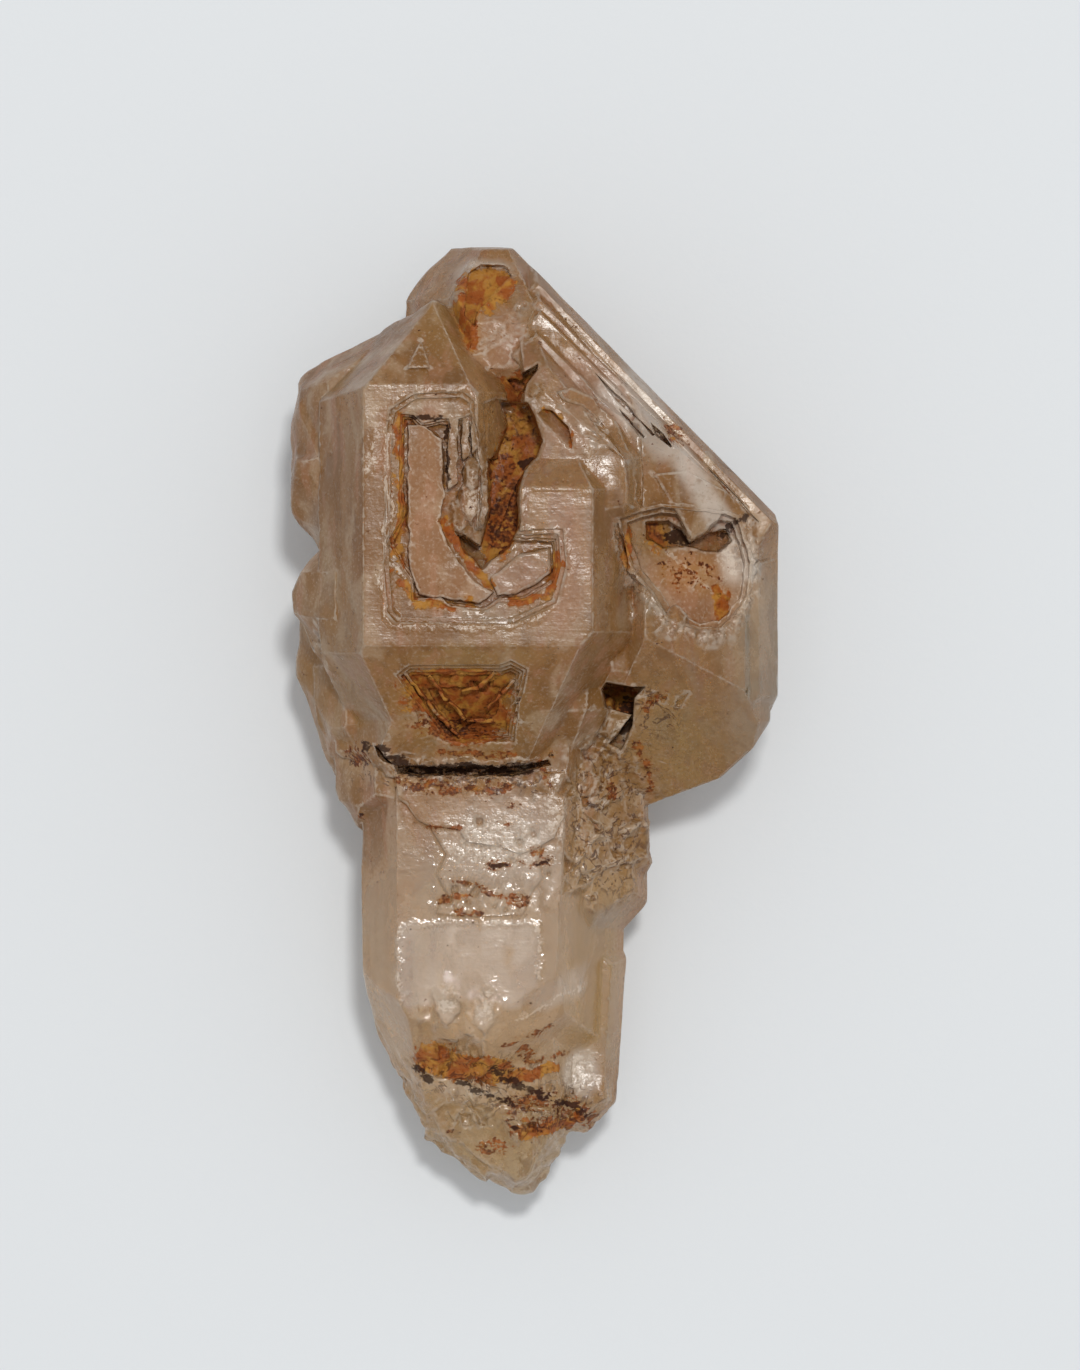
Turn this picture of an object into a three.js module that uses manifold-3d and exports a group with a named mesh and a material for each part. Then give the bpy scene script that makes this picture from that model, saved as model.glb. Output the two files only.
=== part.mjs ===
// A skeletal quartz sceptre: a broad, doubly ended head of crystals grown side by side, with stepped
// hollows in its faces, on a thinner broken stem. It is one intergrown piece, so it is one solid. It lies on
// its back.
// Millimetres. X is to the right, +Y runs along the stem to the tip of the head, and Z is up off the table.
import * as THREE from "three";
import { ConvexGeometry } from "three/addons/geometries/ConvexGeometry.js";
import { mergeVertices } from "three/addons/utils/BufferGeometryUtils.js";
import Module from "manifold-3d";

const wasm = await Module();
wasm.setup();

// Driving dimensions.
const TIP_Y = 30; // the blunt tip of the head
const FOOT_Y = -30; // the broken end of the stem
const HEAD_Z = 22; // the large prism face of the head, which looks up
const STEM_Z = 15.4; // the prism face of the stem, which looks up
const STEM_BACK_Z = 3.4; // the underside of the stem
const SMALLEST_STEP = 0.035; // relief finer than this is left flat
const OPEN_Z = HEAD_Z + 6; // above everything, where a cut from the top starts

// Quartz's own angles, in degrees.
const RHOMB_FROM_AXIS = 51.8; // a rhombohedral face's normal, from the long axis
const RHOMB_DIP = 90 - RHOMB_FROM_AXIS; // how far an end face falls away from the prism face beside it

const radians = THREE.MathUtils.degToRad;

// Faces. A face is a plane through a point, with the crystal behind it.
function face(normal, x, y, z) {
  return { normal, distance: normal.dot(new THREE.Vector3(x, y, z)) };
}

// turn goes round the long axis from straight up, towards +X. end is 1 at the tip, -1 at the foot and 0 on
// the prism.
function quartzFace(turn, end, x, y, z) {
  const across = end === 0 ? 1 : Math.sin(radians(RHOMB_FROM_AXIS));
  const along = end * Math.cos(radians(RHOMB_FROM_AXIS));
  const t = radians(turn);
  return face(new THREE.Vector3(across * Math.sin(t), along, across * Math.cos(t)), x, y, z);
}
const prism = (turn, x, z) => quartzFace(turn, 0, x, 0, z);
const upper = (turn, x, y, z) => quartzFace(turn, 1, x, y, z);
const lower = (turn, x, y, z) => quartzFace(turn, -1, x, y, z);

// A face off quartz's own angles. It falls towards a bearing in plan, from +X to +Y, dip degrees from level.
function facet(towards, dip, x, y, z) {
  const t = radians(towards);
  const d = radians(dip);
  return face(new THREE.Vector3(Math.cos(t) * Math.sin(d), Math.sin(t) * Math.sin(d), Math.cos(d)), x, y, z);
}

// Solids.
function solidFrom(geometry) {
  geometry.deleteAttribute("normal");
  geometry.deleteAttribute("uv");
  const merged = mergeVertices(geometry, 1e-4);
  return new wasm.Manifold(
    new wasm.Mesh({
      numProp: 3,
      vertProperties: merged.attributes.position.array,
      triVerts: new Uint32Array(merged.index.array),
    }),
  );
}

// The corner where three faces meet, or null.
function corner(a, b, c) {
  const bc = new THREE.Vector3().crossVectors(b.normal, c.normal);
  const volume = a.normal.dot(bc);
  if (Math.abs(volume) < 1e-6) return null;
  const ca = new THREE.Vector3().crossVectors(c.normal, a.normal);
  const ab = new THREE.Vector3().crossVectors(a.normal, b.normal);
  return bc
    .multiplyScalar(a.distance)
    .addScaledVector(ca, b.distance)
    .addScaledVector(ab, c.distance)
    .divideScalar(volume);
}

// The convex solid behind all the faces.
function behind(faces) {
  const corners = [];
  for (let i = 0; i < faces.length; i++)
    for (let j = i + 1; j < faces.length; j++)
      for (let k = j + 1; k < faces.length; k++) {
        const p = corner(faces[i], faces[j], faces[k]);
        if (!p || faces.some((f) => f.normal.dot(p) > f.distance + 1e-5)) continue;
        if (corners.every((q) => q.distanceTo(p) > 1e-3)) corners.push(p);
      }
  return solidFrom(new ConvexGeometry(corners));
}

// A quartz crystal about a centre: six prism faces a radius away, and end faces that meet the axis a reach
// away, cut by the faces of its own.
function crystal({ centre: [x, y, z], radius, reach }, faces = []) {
  const habit = [];
  for (let turn = 0; turn < 360; turn += 60) {
    const t = radians(turn);
    habit.push(prism(turn, x + radius * Math.sin(t), z + radius * Math.cos(t)));
    habit.push(upper(turn, x, y + reach, z), lower(turn, x, y - reach, z));
  }
  return behind([...habit, ...faces]);
}

// A small crystal with three end faces at each end, as quartz has when it grows slowly.
function grain({ centre: [x, y, z], radius, reach }, faces = []) {
  const habit = [];
  for (let turn = 0; turn < 360; turn += 60) {
    const t = radians(turn);
    habit.push(prism(turn, x + radius * Math.sin(t), z + radius * Math.cos(t)));
    habit.push(turn % 120 ? lower(turn, x, y - reach, z) : upper(turn, x, y + reach, z));
  }
  return behind([...habit, ...faces]);
}

// A small etched pit: an upside-down block whose sides lean in as they go down, along the crystal's lines.
function pit({ centre: [x, y, z], radius, long, lean }) {
  const half = radius * long * 0.62;
  return behind([
    facet(lean, 112, x + radius, y, z),
    facet(180 + lean * 2, 106, x - radius, y, z),
    facet(90 - lean, 122, x, y + half, z),
    facet(270 + lean, 114, x, y - half, z),
    facet(0, 180, x, y, z - radius * 1.3),
    facet(0, 0, x, y, z + 0.7),
  ]);
}

// The outline moved inwards by a distance.
function inset(outline, distance) {
  const points = outline.map(([x, y]) => new THREE.Vector2(x, y));
  const side = THREE.ShapeUtils.area(points) > 0 ? 1 : -1;
  const count = points.length;
  return points.map((p, i) => {
    const before = p.clone().sub(points[(i + count - 1) % count]).normalize();
    const after = points[(i + 1) % count].clone().sub(p).normalize();
    const n1 = new THREE.Vector2(-before.y, before.x).multiplyScalar(side);
    const n2 = new THREE.Vector2(-after.y, after.x).multiplyScalar(side);
    const mitre = distance / Math.max(0.4, 1 + n1.dot(n2));
    return [p.x + (n1.x + n2.x) * mitre, p.y + (n1.y + n2.y) * mitre];
  });
}

// A column with that outline in plan, between two heights, each a number or a function of x and y. topInset
// pulls its top in, and bottomInset its bottom.
function column(outline, bottom, top, { topInset = 0, bottomInset = 0 } = {}) {
  const heightAt = (h, x, y) => (typeof h === "function" ? h(x, y) : h);
  const shape = new THREE.Shape(outline.map(([x, y]) => new THREE.Vector2(x, y)));
  const geometry = new THREE.ExtrudeGeometry(shape, { depth: 1, bevelEnabled: false });
  const ends = [inset(outline, bottomInset), inset(outline, topInset)];
  const position = geometry.attributes.position;
  for (let i = 0; i < position.count; i++) {
    const end = position.getZ(i) > 0.5 ? 1 : 0;
    const nearest = outline.findIndex(
      ([x, y]) => Math.hypot(x - position.getX(i), y - position.getY(i)) < 1e-4,
    );
    const [x, y] = ends[end][nearest];
    position.setXYZ(i, x, y, heightAt(end ? top : bottom, x, y));
  }
  return solidFrom(geometry);
}

// A thin wall along a route in plan.
function wall(route, width, bottom, top) {
  const walls = route.slice(1).map(([x, y], i) => {
    const [px, py] = route[i];
    const length = Math.hypot(x - px, y - py);
    const [ox, oy] = [((py - y) / length) * width * 0.5, ((x - px) / length) * width * 0.5];
    const outline = [[px + ox, py + oy], [px - ox, py - oy], [x - ox, y - oy], [x + ox, y + oy]];
    return column(outline, bottom, top, { topInset: width * 0.2 });
  });
  return joined(walls);
}

const joined = (solids) => solids.reduce((all, one) => all.add(one));

// A stepped hollow that opens upwards: terraces that get smaller as they go down, below a surface.
function hopper(outline, surface, { steps, run, drop }) {
  const terraces = [];
  for (let k = 0; k < steps; k++) {
    const floor = (x, y) => surface(x, y) - drop * (k + 1);
    terraces.push(column(inset(outline, run * k), floor, OPEN_Z, { bottomInset: 0.08 }));
  }
  return joined(terraces);
}

// Repeatable numbers from 0 to 1.
function numbersFrom(seed) {
  let state = seed;
  return () => {
    state = (state * 1664525 + 1013904223) % 4294967296;
    return state / 4294967296;
  };
}

// The crystals of the head, named by where they lie as seen from above.
function head() {
  const tower = crystal({ centre: [-7, 12, 12], radius: 10.6, reach: 27 }, [
    prism(0, -7, HEAD_Z),
    prism(300, -10.6, HEAD_Z),
    prism(240, -13.5, 17),
    prism(60, -3.5, HEAD_Z),
    upper(0, -8, 21.1, HEAD_Z),
    facet(132, 75, -10.4, 21.1, HEAD_Z),
    upper(60, -3.5, 20.6, HEAD_Z),
    lower(0, -8, 4.8, HEAD_Z),
    lower(300, -11, 4.8, HEAD_Z),
    facet(270, 112, -5, -2.7, 16.1),
    facet(143, 98, -10.7, 23.4, 15),
    facet(100, 104, -6.6, 26.2, 17),
  ]);
  const shoulder = crystal({ centre: [-0.5, 9, 12], radius: 10.4, reach: 24 }, [
    prism(0, 0, HEAD_Z),
    prism(60, 3.7, HEAD_Z),
    prism(300, -9, HEAD_Z),
    prism(120, 8, 14),
    upper(0, 0, 14.7, HEAD_Z),
    upper(60, 3.7, 14.6, HEAD_Z),
    lower(0, 0, 4.8, HEAD_Z),
    lower(60, 2.9, 4.8, HEAD_Z),
    facet(276, 112, 0, -2.6, 16.1),
  ]);
  const core = crystal({ centre: [-1.5, 9, 8.5], radius: 8.5, reach: 19 }, [
    prism(180, 0, 0),
    prism(240, -7.5, 0),
    prism(120, 7.5, 0),
    upper(180, 0, 21, 0),
    lower(180, 0, -3.5, 0),
  ]);
  const lowerRight = [
    facet(328, 66, 15.4, 1.2, 14.4),
    facet(328, 112, 15.4, 1.2, 13.6),
    facet(301, 66, 12.9, -2.8, 12.8),
    facet(301, 114, 12.9, -2.8, 12.2),
  ];
  const right = crystal({ centre: [4, 9, 9], radius: 12, reach: 26 }, [
    facet(0, 18, 5.2, 12, 19.6),
    facet(262, 40, 11.4, 3, 17.6),
    prism(60, 14.2, 16.6),
    prism(120, 15.3, 14.7),
    prism(180, 0, 0),
    facet(44.5, 67, 15.2, 13.1, 14.6),
    facet(44.5, 113, 15.2, 13.1, 14.6),
    ...lowerRight,
    facet(181, 62, 6.9, 8.6, 19),
    facet(250, 84, 6.2, -6.4, 10),
    facet(180, 78, -2.5, 20, 15),
  ]);
  const rightCorner = crystal({ centre: [9.5, 8, 9], radius: 8, reach: 16 }, [
    prism(60, 14.05, 16.3),
    prism(120, 15.4, 14),
    facet(0, 20, 12, 6, 16.9),
    facet(90, 80, 12, 10.6, 13),
    ...lowerRight,
    facet(262, 40, 11.4, 3, 17.5),
  ]);
  const middle = crystal({ centre: [2, 16, 14], radius: 6.6, reach: 14 }, [
    facet(60, 11, 2, 18, 20.7),
    facet(42, 64, 5.3, 17.6, 19.8),
    facet(5, 60, 6.9, 14.4, 19),
    facet(318, 58, 6.3, 13, 19.2),
    facet(280, 50, 5, 12.5, 19.5),
    facet(180, 82, -0.9, 18, 18),
    facet(44.5, 67, 15.2, 13.1, 14.4),
    facet(44.5, 113, 15.2, 13.1, 14.4),
  ]);
  const knob = crystal({ centre: [-3.5, 20, 11.5], radius: 7.5, reach: 14 }, [
    prism(0, -2, 18.5),
    prism(300, -4, 18.5),
    prism(240, -8.2, 11.2),
    prism(60, -0.3, 18.5),
    upper(0, -2, 26, 18.5),
    upper(300, -8.2, 26.7, 11.2),
    upper(240, -8.2, 26.7, 11.2),
    facet(44.5, 67, 0.8, 27.9, 14.2),
    facet(44.5, 113, 0.8, 27.9, 14.2),
    facet(90, 84, -3, TIP_Y, 13),
    lower(0, -2, 22.2, 18.5),
  ]);
  const upperLobe = [
    facet(122, 70, -12.9, 23, 13),
    facet(110, 108, -12.9, 23, 13),
    facet(140, 72, -14.5, 21.4, 13),
    facet(216, 70, -14.6, 12.2, 13),
    facet(216, 112, -14.6, 12.2, 13),
    facet(175, 78, -15.1, 17, 13),
  ];
  const lowerLobe = [
    upper(300, -14.2, 10, 15),
    upper(240, -14.2, 10, 15),
    facet(213, 66, -14.6, 5.8, 14),
    facet(213, 112, -14.6, 5.8, 14),
  ];
  const leftUpper = crystal({ centre: [-9.5, 17, 10.5], radius: 6, reach: 13 }, [
    prism(300, -15.4, 12.6),
    prism(240, -15.4, 12.6),
    ...upperLobe,
  ]);
  const leftLower = crystal({ centre: [-8.5, 7, 12], radius: 7, reach: 14 }, [
    prism(300, -10.7, HEAD_Z - 0.05),
    prism(240, -15.2, 14),
    lower(300, -11, 4.7, HEAD_Z),
    ...lowerLobe,
  ]);
  const backLeft = crystal({ centre: [-8, 4, 7.5], radius: 7, reach: 13 }, [
    prism(300, -15, 9),
    prism(240, -15, 9),
    prism(180, -8, 0),
    facet(200, 76, -14.6, 1.9, 9),
    facet(200, 106, -14.6, 1.9, 9),
    facet(150, 70, -14.7, 8, 9),
  ]);
  const lobes = [
    crystal({ centre: [-11.4, 18, 12.6], radius: 3.6, reach: 6.6 }, [
      facet(150, 40, -13.4, 20.4, 14.6),
      ...upperLobe,
    ]),
    crystal({ centre: [-11.9, 14.4, 13.4], radius: 3.1, reach: 6 }, [
      facet(196, 52, -14, 13, 14.6),
      ...upperLobe,
    ]),
    crystal({ centre: [-11.9, 7.2, 12.6], radius: 3, reach: 5.6 }, [
      facet(160, 50, -14, 8.2, 14.4),
      ...lowerLobe,
    ]),
    crystal({ centre: [-11.2, 1.6, 11], radius: 2.4, reach: 5 }, [facet(206, 56, -13, 0.6, 11.8)]),
  ];
  const left = [leftUpper, leftLower, backLeft];
  return joined([tower, shoulder, core, right, rightCorner, middle, knob, ...left, ...lobes, ...plates()]);
}

// Thin plates side by side along the long sloping edge, each a step below the one before it.
const EDGE_BEARING = 44.5; // the way that the sloping edge faces, in plan
const EDGE_OUT = 20.02; // how far out it lies that way, from the origin
const PLATES = [
  { inFrom: 0.5, top: 16.7, from: -19.6, to: 1.5 },
  { inFrom: 1.2, top: 17.6, from: -18.7, to: -3.4 },
  { inFrom: 1.7, top: 18.1, from: -18.1, to: -6.8 },
  { inFrom: 2.8, top: 18.9, from: -17.3, to: -7.6 },
  { inFrom: 3.7, top: 19.25, from: -16.2, to: -10.4 },
];

// A point given by how far it lies along the sloping edge, and how far in from it.
function besideEdge(along, inFrom) {
  const t = radians(EDGE_BEARING);
  const out = EDGE_OUT - inFrom;
  return [Math.sin(t) * along + Math.cos(t) * out, -Math.cos(t) * along + Math.sin(t) * out];
}

function plates() {
  return PLATES.map(({ inFrom, top, from, to }, i) => {
    const [sx, sy] = besideEdge(from, inFrom);
    const [ex, ey] = besideEdge(to, inFrom);
    const [bx, by] = besideEdge((from + to) / 2, 4.5 + i * 0.1);
    return behind([
      facet(EDGE_BEARING, 4 + (i % 3) * 2, sx, sy, top),
      facet(EDGE_BEARING, 72, sx, sy, top),
      facet(EDGE_BEARING + 92, 66, sx, sy, top),
      facet(EDGE_BEARING - 74, 62, ex, ey, top),
      facet(EDGE_BEARING + 180, 78, bx, by, top),
      facet(0, 180, 0, 0, 12),
    ]);
  });
}

// The small crystals that ring the join of head and stem.
function collar() {
  const left = crystal({ centre: [-8, -2.6, 10.5], radius: 4.6, reach: 8 }, [
    prism(300, -12.6, 10.6),
    prism(240, -12.6, 10.6),
    upper(300, -11.9, 1.2, 11.5),
    facet(214, 68, -12.1, -5.4, 11),
    facet(214, 112, -12.1, -5.4, 11),
    facet(262, 62, -11, -6.6, 11),
  ]);
  const leftBack = crystal({ centre: [-8, -1.5, 8], radius: 4.4, reach: 7 }, [
    facet(196, 76, -12.9, -2.6, 8),
    facet(196, 104, -12.9, -2.6, 8),
  ]);
  const right = crystal({ centre: [3.6, -6.5, 9.6], radius: 4.4, reach: 9 }, [
    prism(0, 2, 14.4),
    facet(0, 42, 2.4, -6, 14.7),
    facet(4, 74, 7.4, -7.2, 9.4),
    facet(4, 120, 7.4, -7.2, 9.4),
    facet(310, 62, 6.9, -9, 10),
  ]);
  const rightFoot = crystal({ centre: [3.2, -8.6, 9], radius: 3.9, reach: 8 }, [
    facet(0, 70, 6.9, -10, 9),
    facet(0, 40, 1.6, -9, 14.6),
    facet(318, 66, 6.5, -11.6, 9),
    prism(0, 2, 14),
  ]);
  return joined([left, leftBack, right, rightFoot]);
}

// The stem, a long prism that is broken off at a slant, and the lower splinters that its break leaves. Each
// side of the break has a face that falls outwards and one that leans back under it.
const side = (towards, x, y, z, [above, below] = [68, 112]) => [
  facet(towards, above, x, y, z),
  facet(towards, below, x, y, z),
];

function stem() {
  const shaft = crystal({ centre: [-2.6, -10, 9.4], radius: 9, reach: 40 }, [
    prism(0, 0, STEM_Z),
    prism(300, -8.6, STEM_Z),
    prism(240, -10.9, 11.4),
    facet(181, 90, -10.85, -12, 11),
    facet(357, 61, 1.6, -12, STEM_Z),
    facet(357, 119, 5.8, -12, 7.7),
    prism(180, 0, STEM_BACK_Z),
    ...side(199, -10.1, -18.8, 10.4, [72, 104]),
    ...side(207, -8.6, -22.4, 9, [70, 108]),
    facet(256, 40, -5.6, -19.1, STEM_Z),
    facet(301, 58, 0, -18.6, STEM_Z),
    facet(303, 29, 0.4, -19.4, STEM_Z - 1.3),
    facet(275, 70, 2.4, -24.6, 9.6),
    ...side(322, 4.9, -24.3, 9),
    facet(90, 80, 0, 4, 9),
  ]);
  const ledge = crystal({ centre: [-5.2, -19.5, 9.6], radius: 4.4, reach: 12 }, [
    prism(0, 0, 13),
    ...side(207, -8.7, -21.6, 10),
    facet(240, 44, -6.8, -23.2, 12),
    facet(285, 38, -4.2, -22.4, 12.9),
    facet(275, 60, -4, -24.8, 10.4),
  ]);
  const splinter = crystal({ centre: [-3.2, -21.5, 8], radius: 6, reach: 18 }, [
    facet(262, 15, -4, -23, 11.4),
    ...side(207, -8, -23.6, 8.4),
    ...side(225, -6.6, -26.4, 8),
    ...side(240, -4.4, -28.2, 7.6),
    ...side(272, -1.6, FOOT_Y - 0.1, 7.2),
    ...side(326, 1, -28.5, 7.4),
    ...side(337, 2.1, -26.4, 7.8),
    prism(180, 0, 3.8),
  ]);
  const bulge = crystal({ centre: [-4.2, -25.6, 8.2], radius: 2.4, reach: 5 }, [
    ...side(232, -5.8, -27.2, 8),
    facet(262, 24, -4.2, -26, 10.4),
  ]);
  const heel = crystal({ centre: [1.6, -22, 7.6], radius: 4.2, reach: 12 }, [
    prism(0, 0, 10.2),
    ...side(272, 2.6, -26, 8),
    ...side(314, 4.6, -24.8, 8),
    ...side(356, 5.4, -22, 8),
    prism(180, 0, 3.7),
  ]);
  const buds = [
    grain({ centre: [-5.5, -17.7, 14.7], radius: 1.15, reach: 1.9 }, [facet(70, 24, -5.5, -17.7, 15.75)]),
    grain({ centre: [-3.1, -18, 14.6], radius: 0.95, reach: 2.1 }, [facet(110, 20, -3.1, -18, 15.5)]),
  ];
  return joined([shaft, ledge, splinter, bulge, heel, ...buds, ...skins()]);
}

// Thin ragged skins on the stem's upper face, left by growth that stopped.
const SKINS = [
  {
    rise: 0.34,
    outline: [
      [-8.8, -3], [-8.6, -4.9], [-8.1, -5.2], [-7.4, -6.2], [-6.6, -6.6], [-4.8, -6.8], [-4.3, -7.6],
      [-2.1, -7.9], [-0.9, -8.4], [0.1, -8.1], [1.4, -7.3], [2, -6], [2.1, -3],
    ],
  },
  {
    rise: 0.17,
    outline: [
      [-7, -6], [-5.6, -8.3], [-6.2, -9.6], [-5.5, -10.8], [-6.4, -12.1], [-3.4, -12.3], [-0.6, -12.2],
      [-0.2, -11], [0.7, -9.8], [0.4, -8.6], [1.2, -6],
    ],
  },
];

function skins() {
  return SKINS.map(({ rise, outline }) => column(outline, 13, STEM_Z + rise, { topInset: 0.12 }));
}

// The rounded crystal beside the large face: a raised rim, and a curved crease inside it.
const RIM = [
  [0.9, 20.9], [2.4, 21.3], [3.9, 20.7], [5.4, 19], [6.4, 17], [6.9, 14.9], [6.6, 13.2], [5.7, 13],
  [5.7, 14.7], [5.2, 16.4], [4.2, 18.1], [2.9, 19.4], [1.6, 19.9],
];
const CREASE = [
  [0.1, 19.3], [0.6, 19.65], [1.2, 19.6], [2.2, 18.5], [2.5, 17.4], [2.4, 16.7], [1.4, 17.9],
];

function rimmed(solid) {
  const crown = (x, y) => 20.9 - (x - 1) * 0.22 - (20 - y) * 0.02;
  return solid
    .add(column(RIM, 15, crown, { topInset: 0.36 }))
    .subtract(column(CREASE, (x, y) => 20.6 - (x - 0.1 + y - 19.3) * 0.75, OPEN_Z, { bottomInset: 0.05 }));
}

// The G-shaped hollow of the large face: a shallow step, the deeper channel with a plateau left in it, and
// thin walls.
const CHANNEL = [
  [-8.5, 19.5], [-7.4, 19.4], [-6.9, 18.9], [-6, 19.1], [-4.5, 19.2], [-3.9, 19.4], [-3.4, 18.4],
  [-3.1, 15.7], [-3.2, 12.4], [-1.2, 11.8], [1.6, 11.7], [1.7, 9.6], [1.4, 8.6], [-0.4, 7.5],
  [-2, 7.3], [-3.2, 6.8], [-5.5, 7.1], [-6.2, 7.5], [-7.8, 7.3], [-7.9, 8.9], [-9.3, 11.3],
  [-8.5, 12.8], [-8.6, 16],
];
const CHANNEL_STEP = [
  [-9.2, 18.3], [-9, 19.6], [-7.4, 20.6], [-4.4, 20.7], [-3.6, 20.1], [-3.3, 12], [1.9, 12.2],
  [2.1, 9.8], [1.5, 7.4], [-1.4, 6.1], [-8.6, 6.2], [-9.2, 6.9], [-9.4, 10],
];
const PLATEAU = [
  [-8, 18.8], [-6.7, 18.7], [-5.6, 17.8], [-5.4, 14.4], [-5.7, 12.5], [-5, 10.8], [-3.6, 9],
  [-2.3, 8.2], [-3.4, 7.3], [-5.6, 7.6], [-7.2, 7.9], [-7.9, 9.6], [-8, 13],
];
const CHANNEL_SHELF = [
  [-2.9, 9.2], [-0.8, 10.8], [1.2, 11.1], [1.3, 9.3], [-0.4, 8.1], [-2.4, 7.6],
];
const THIN_WALLS = [
  { x: -5.3, width: 0.55, from: 14.6, to: 19, top: 21.5 },
  { x: -4.5, width: 0.5, from: 16.4, to: 19.1, top: 21.2 },
  { x: -3.8, width: 0.35, from: 16.8, to: 19.2, top: 21.5 },
];
const BLOCKS = [
  { at: [-3.8, 15.4], size: 0.55, top: 21.3 },
  { at: [-3.9, 13.8], size: 0.7, top: 21.1 },
  { at: [-4.6, 12.9], size: 0.6, top: 20.7 },
];
const CLEFT = [
  [-3.3, 20], [-2.4, 20.5], [-1.4, 20.4], [-0.2, 20.2], [0.3, 19.2], [0.8, 17.6], [0.4, 16.5],
  [-0.3, 15.8], [-0.75, 14.6], [-0.65, 12.1], [-1.2, 11], [-3.3, 9.2], [-4.3, 10.4], [-5.4, 12.3],
  [-4.4, 12.1], [-3.5, 11.5], [-3, 13.4], [-3.2, 17.2],
];
const CLEFT_FACET = [
  [-3.4, 20.1], [-2.2, 20.3], [-1.7, 18.6], [-2.4, 16.7], [-3.3, 16.4],
]; // a smooth facet that falls into it from the left
const CLEFT_FLOOR = 16.6; // its deepest, at the top; it rises towards the V at the bottom
const CLEFT_RISE = 0.34;

function carveFace(solid) {
  const flat = () => HEAD_Z;
  const cleftFloor = (x, y) => CLEFT_FLOOR + Math.max(0, 15 - y) * CLEFT_RISE;
  const cleft = column(CLEFT, cleftFloor, OPEN_Z, { bottomInset: 0.3 });
  const facetTop = (x, y) => 21.6 - (x + 3.4) * 1.9 - (20 - y) * 0.15;
  const carved = solid
    .subtract(hopper(CHANNEL_STEP, flat, { steps: 2, run: 0.3, drop: 0.24 }))
    .subtract(hopper(CHANNEL, flat, { steps: 4, run: 0.12, drop: 0.42 }))
    .add(column(PLATEAU, 18, 21.05, { topInset: 0.18 }))
    .add(column(CHANNEL_SHELF, 18, 20.95, { topInset: 0.2 }));
  const walls = THIN_WALLS.map(({ x, width, from, to, top }) =>
    column([[x, from], [x + width, from + 0.3], [x + width, to], [x, to]], 18, top),
  );
  const blocks = BLOCKS.map(({ at: [x, y], size, top }) =>
    grain({ centre: [x, y, top - size], radius: size, reach: size * 2.2 }),
  );
  const regrown = joined([column(CLEFT_FACET, 15, facetTop), ...blocks]);
  return joined([carved, ...walls]).subtract(cleft).add(regrown);
}

// The hollow in the lower end face, with terraces and ridges parallel to its sides, and the small hollow and
// the triangle of the upper end faces.
const END_HOLLOW = [
  [-8.7, 3], [-7.8, 3.7], [-2.1, 3.7], [-1.4, 4], [-0.3, 3.4], [-0.6, 2], [-1, 0], [-1.1, -1.3],
  [-5.5, -1.3], [-6, -0.9],
];
const END_CORE = [
  [-7, 2.4], [-1.9, 2.5], [-2.1, 0.4], [-4.7, -0.7], [-6.1, 0.8],
];
const TIP_HOLLOW = [
  [-4.4, 28.4], [-3.4, 29.1], [-1.6, 28.9], [-0.9, 28], [-2, 27.1], [-3, 26], [-3.6, 24.3],
  [-4.6, 25.3],
];

const END_RIDGES = [
  [[-8.1, 3.2], [-6.7, 1.4], [-5.3, -0.3], [-4.4, -1]],
  [[-6.6, 3], [-5.3, 1.4], [-4.2, 0.2], [-2.4, 0.1]],
  [[-1.1, 2.7], [-2, 1.9], [-2.9, 0.8]],
  [[-2.4, 3.2], [-3.4, 2.2], [-4.6, 1.9]],
];
const HILLOCK = [
  [-8.3, 21.9], [-6.1, 21.9], [-7, 24.4],
]; // a triangle on the upper end face, as quartz grows

function carveEnds(solid) {
  const fall = Math.tan(radians(RHOMB_DIP));
  const lowerEnd = (x, y) => HEAD_Z + (y - 4.8) * fall;
  return solid
    .subtract(hopper(END_HOLLOW, lowerEnd, { steps: 4, run: 0.2, drop: 0.42 }))
    .subtract(column(END_CORE, (x, y) => lowerEnd(x, y) - 2.1, OPEN_Z, { bottomInset: 0.2 }))
    .add(joined(END_RIDGES.map((route) => wall(route, 0.3, 14, (x, y) => lowerEnd(x, y) - 0.55))))
    .add(column(HILLOCK, 18, (x, y) => HEAD_Z + 0.22 - (y - 21.1) * fall, { topInset: 0.25 }))
    .subtract(column(TIP_HOLLOW, (x, y) => 16.6 - (y - 26) * 0.62, OPEN_Z, { bottomInset: 0.3 }));
}

// The eye-shaped hollow of the right-hand crystal, with the tongue of crystal that hangs into it from above.
const EYE = [
  [5.3, 12.8], [5.6, 11.9], [6.2, 9.5], [7.5, 8.1], [8.4, 6.5], [10.4, 5.9], [11.8, 5.9], [12.9, 7],
  [13.5, 8.1], [13.7, 10.1], [13.2, 11.8], [12.8, 12.9], [12, 13.2], [10, 13.4], [8, 13.6],
  [6.7, 13.3],
];
const EYE_PIT = [
  [6.6, 12.9], [8.6, 13.1], [9.9, 12.3], [11.2, 12.4], [12.4, 12.6], [12.9, 11.2], [11.6, 10.3],
  [9.6, 10.6], [8, 10.6], [6.8, 11.4],
];
const TONGUE = [
  [7.1, 15.8], [9.6, 16], [12.3, 14.6], [11.9, 12.9], [11, 11.9], [9.8, 11.2], [8.9, 13],
];

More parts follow.
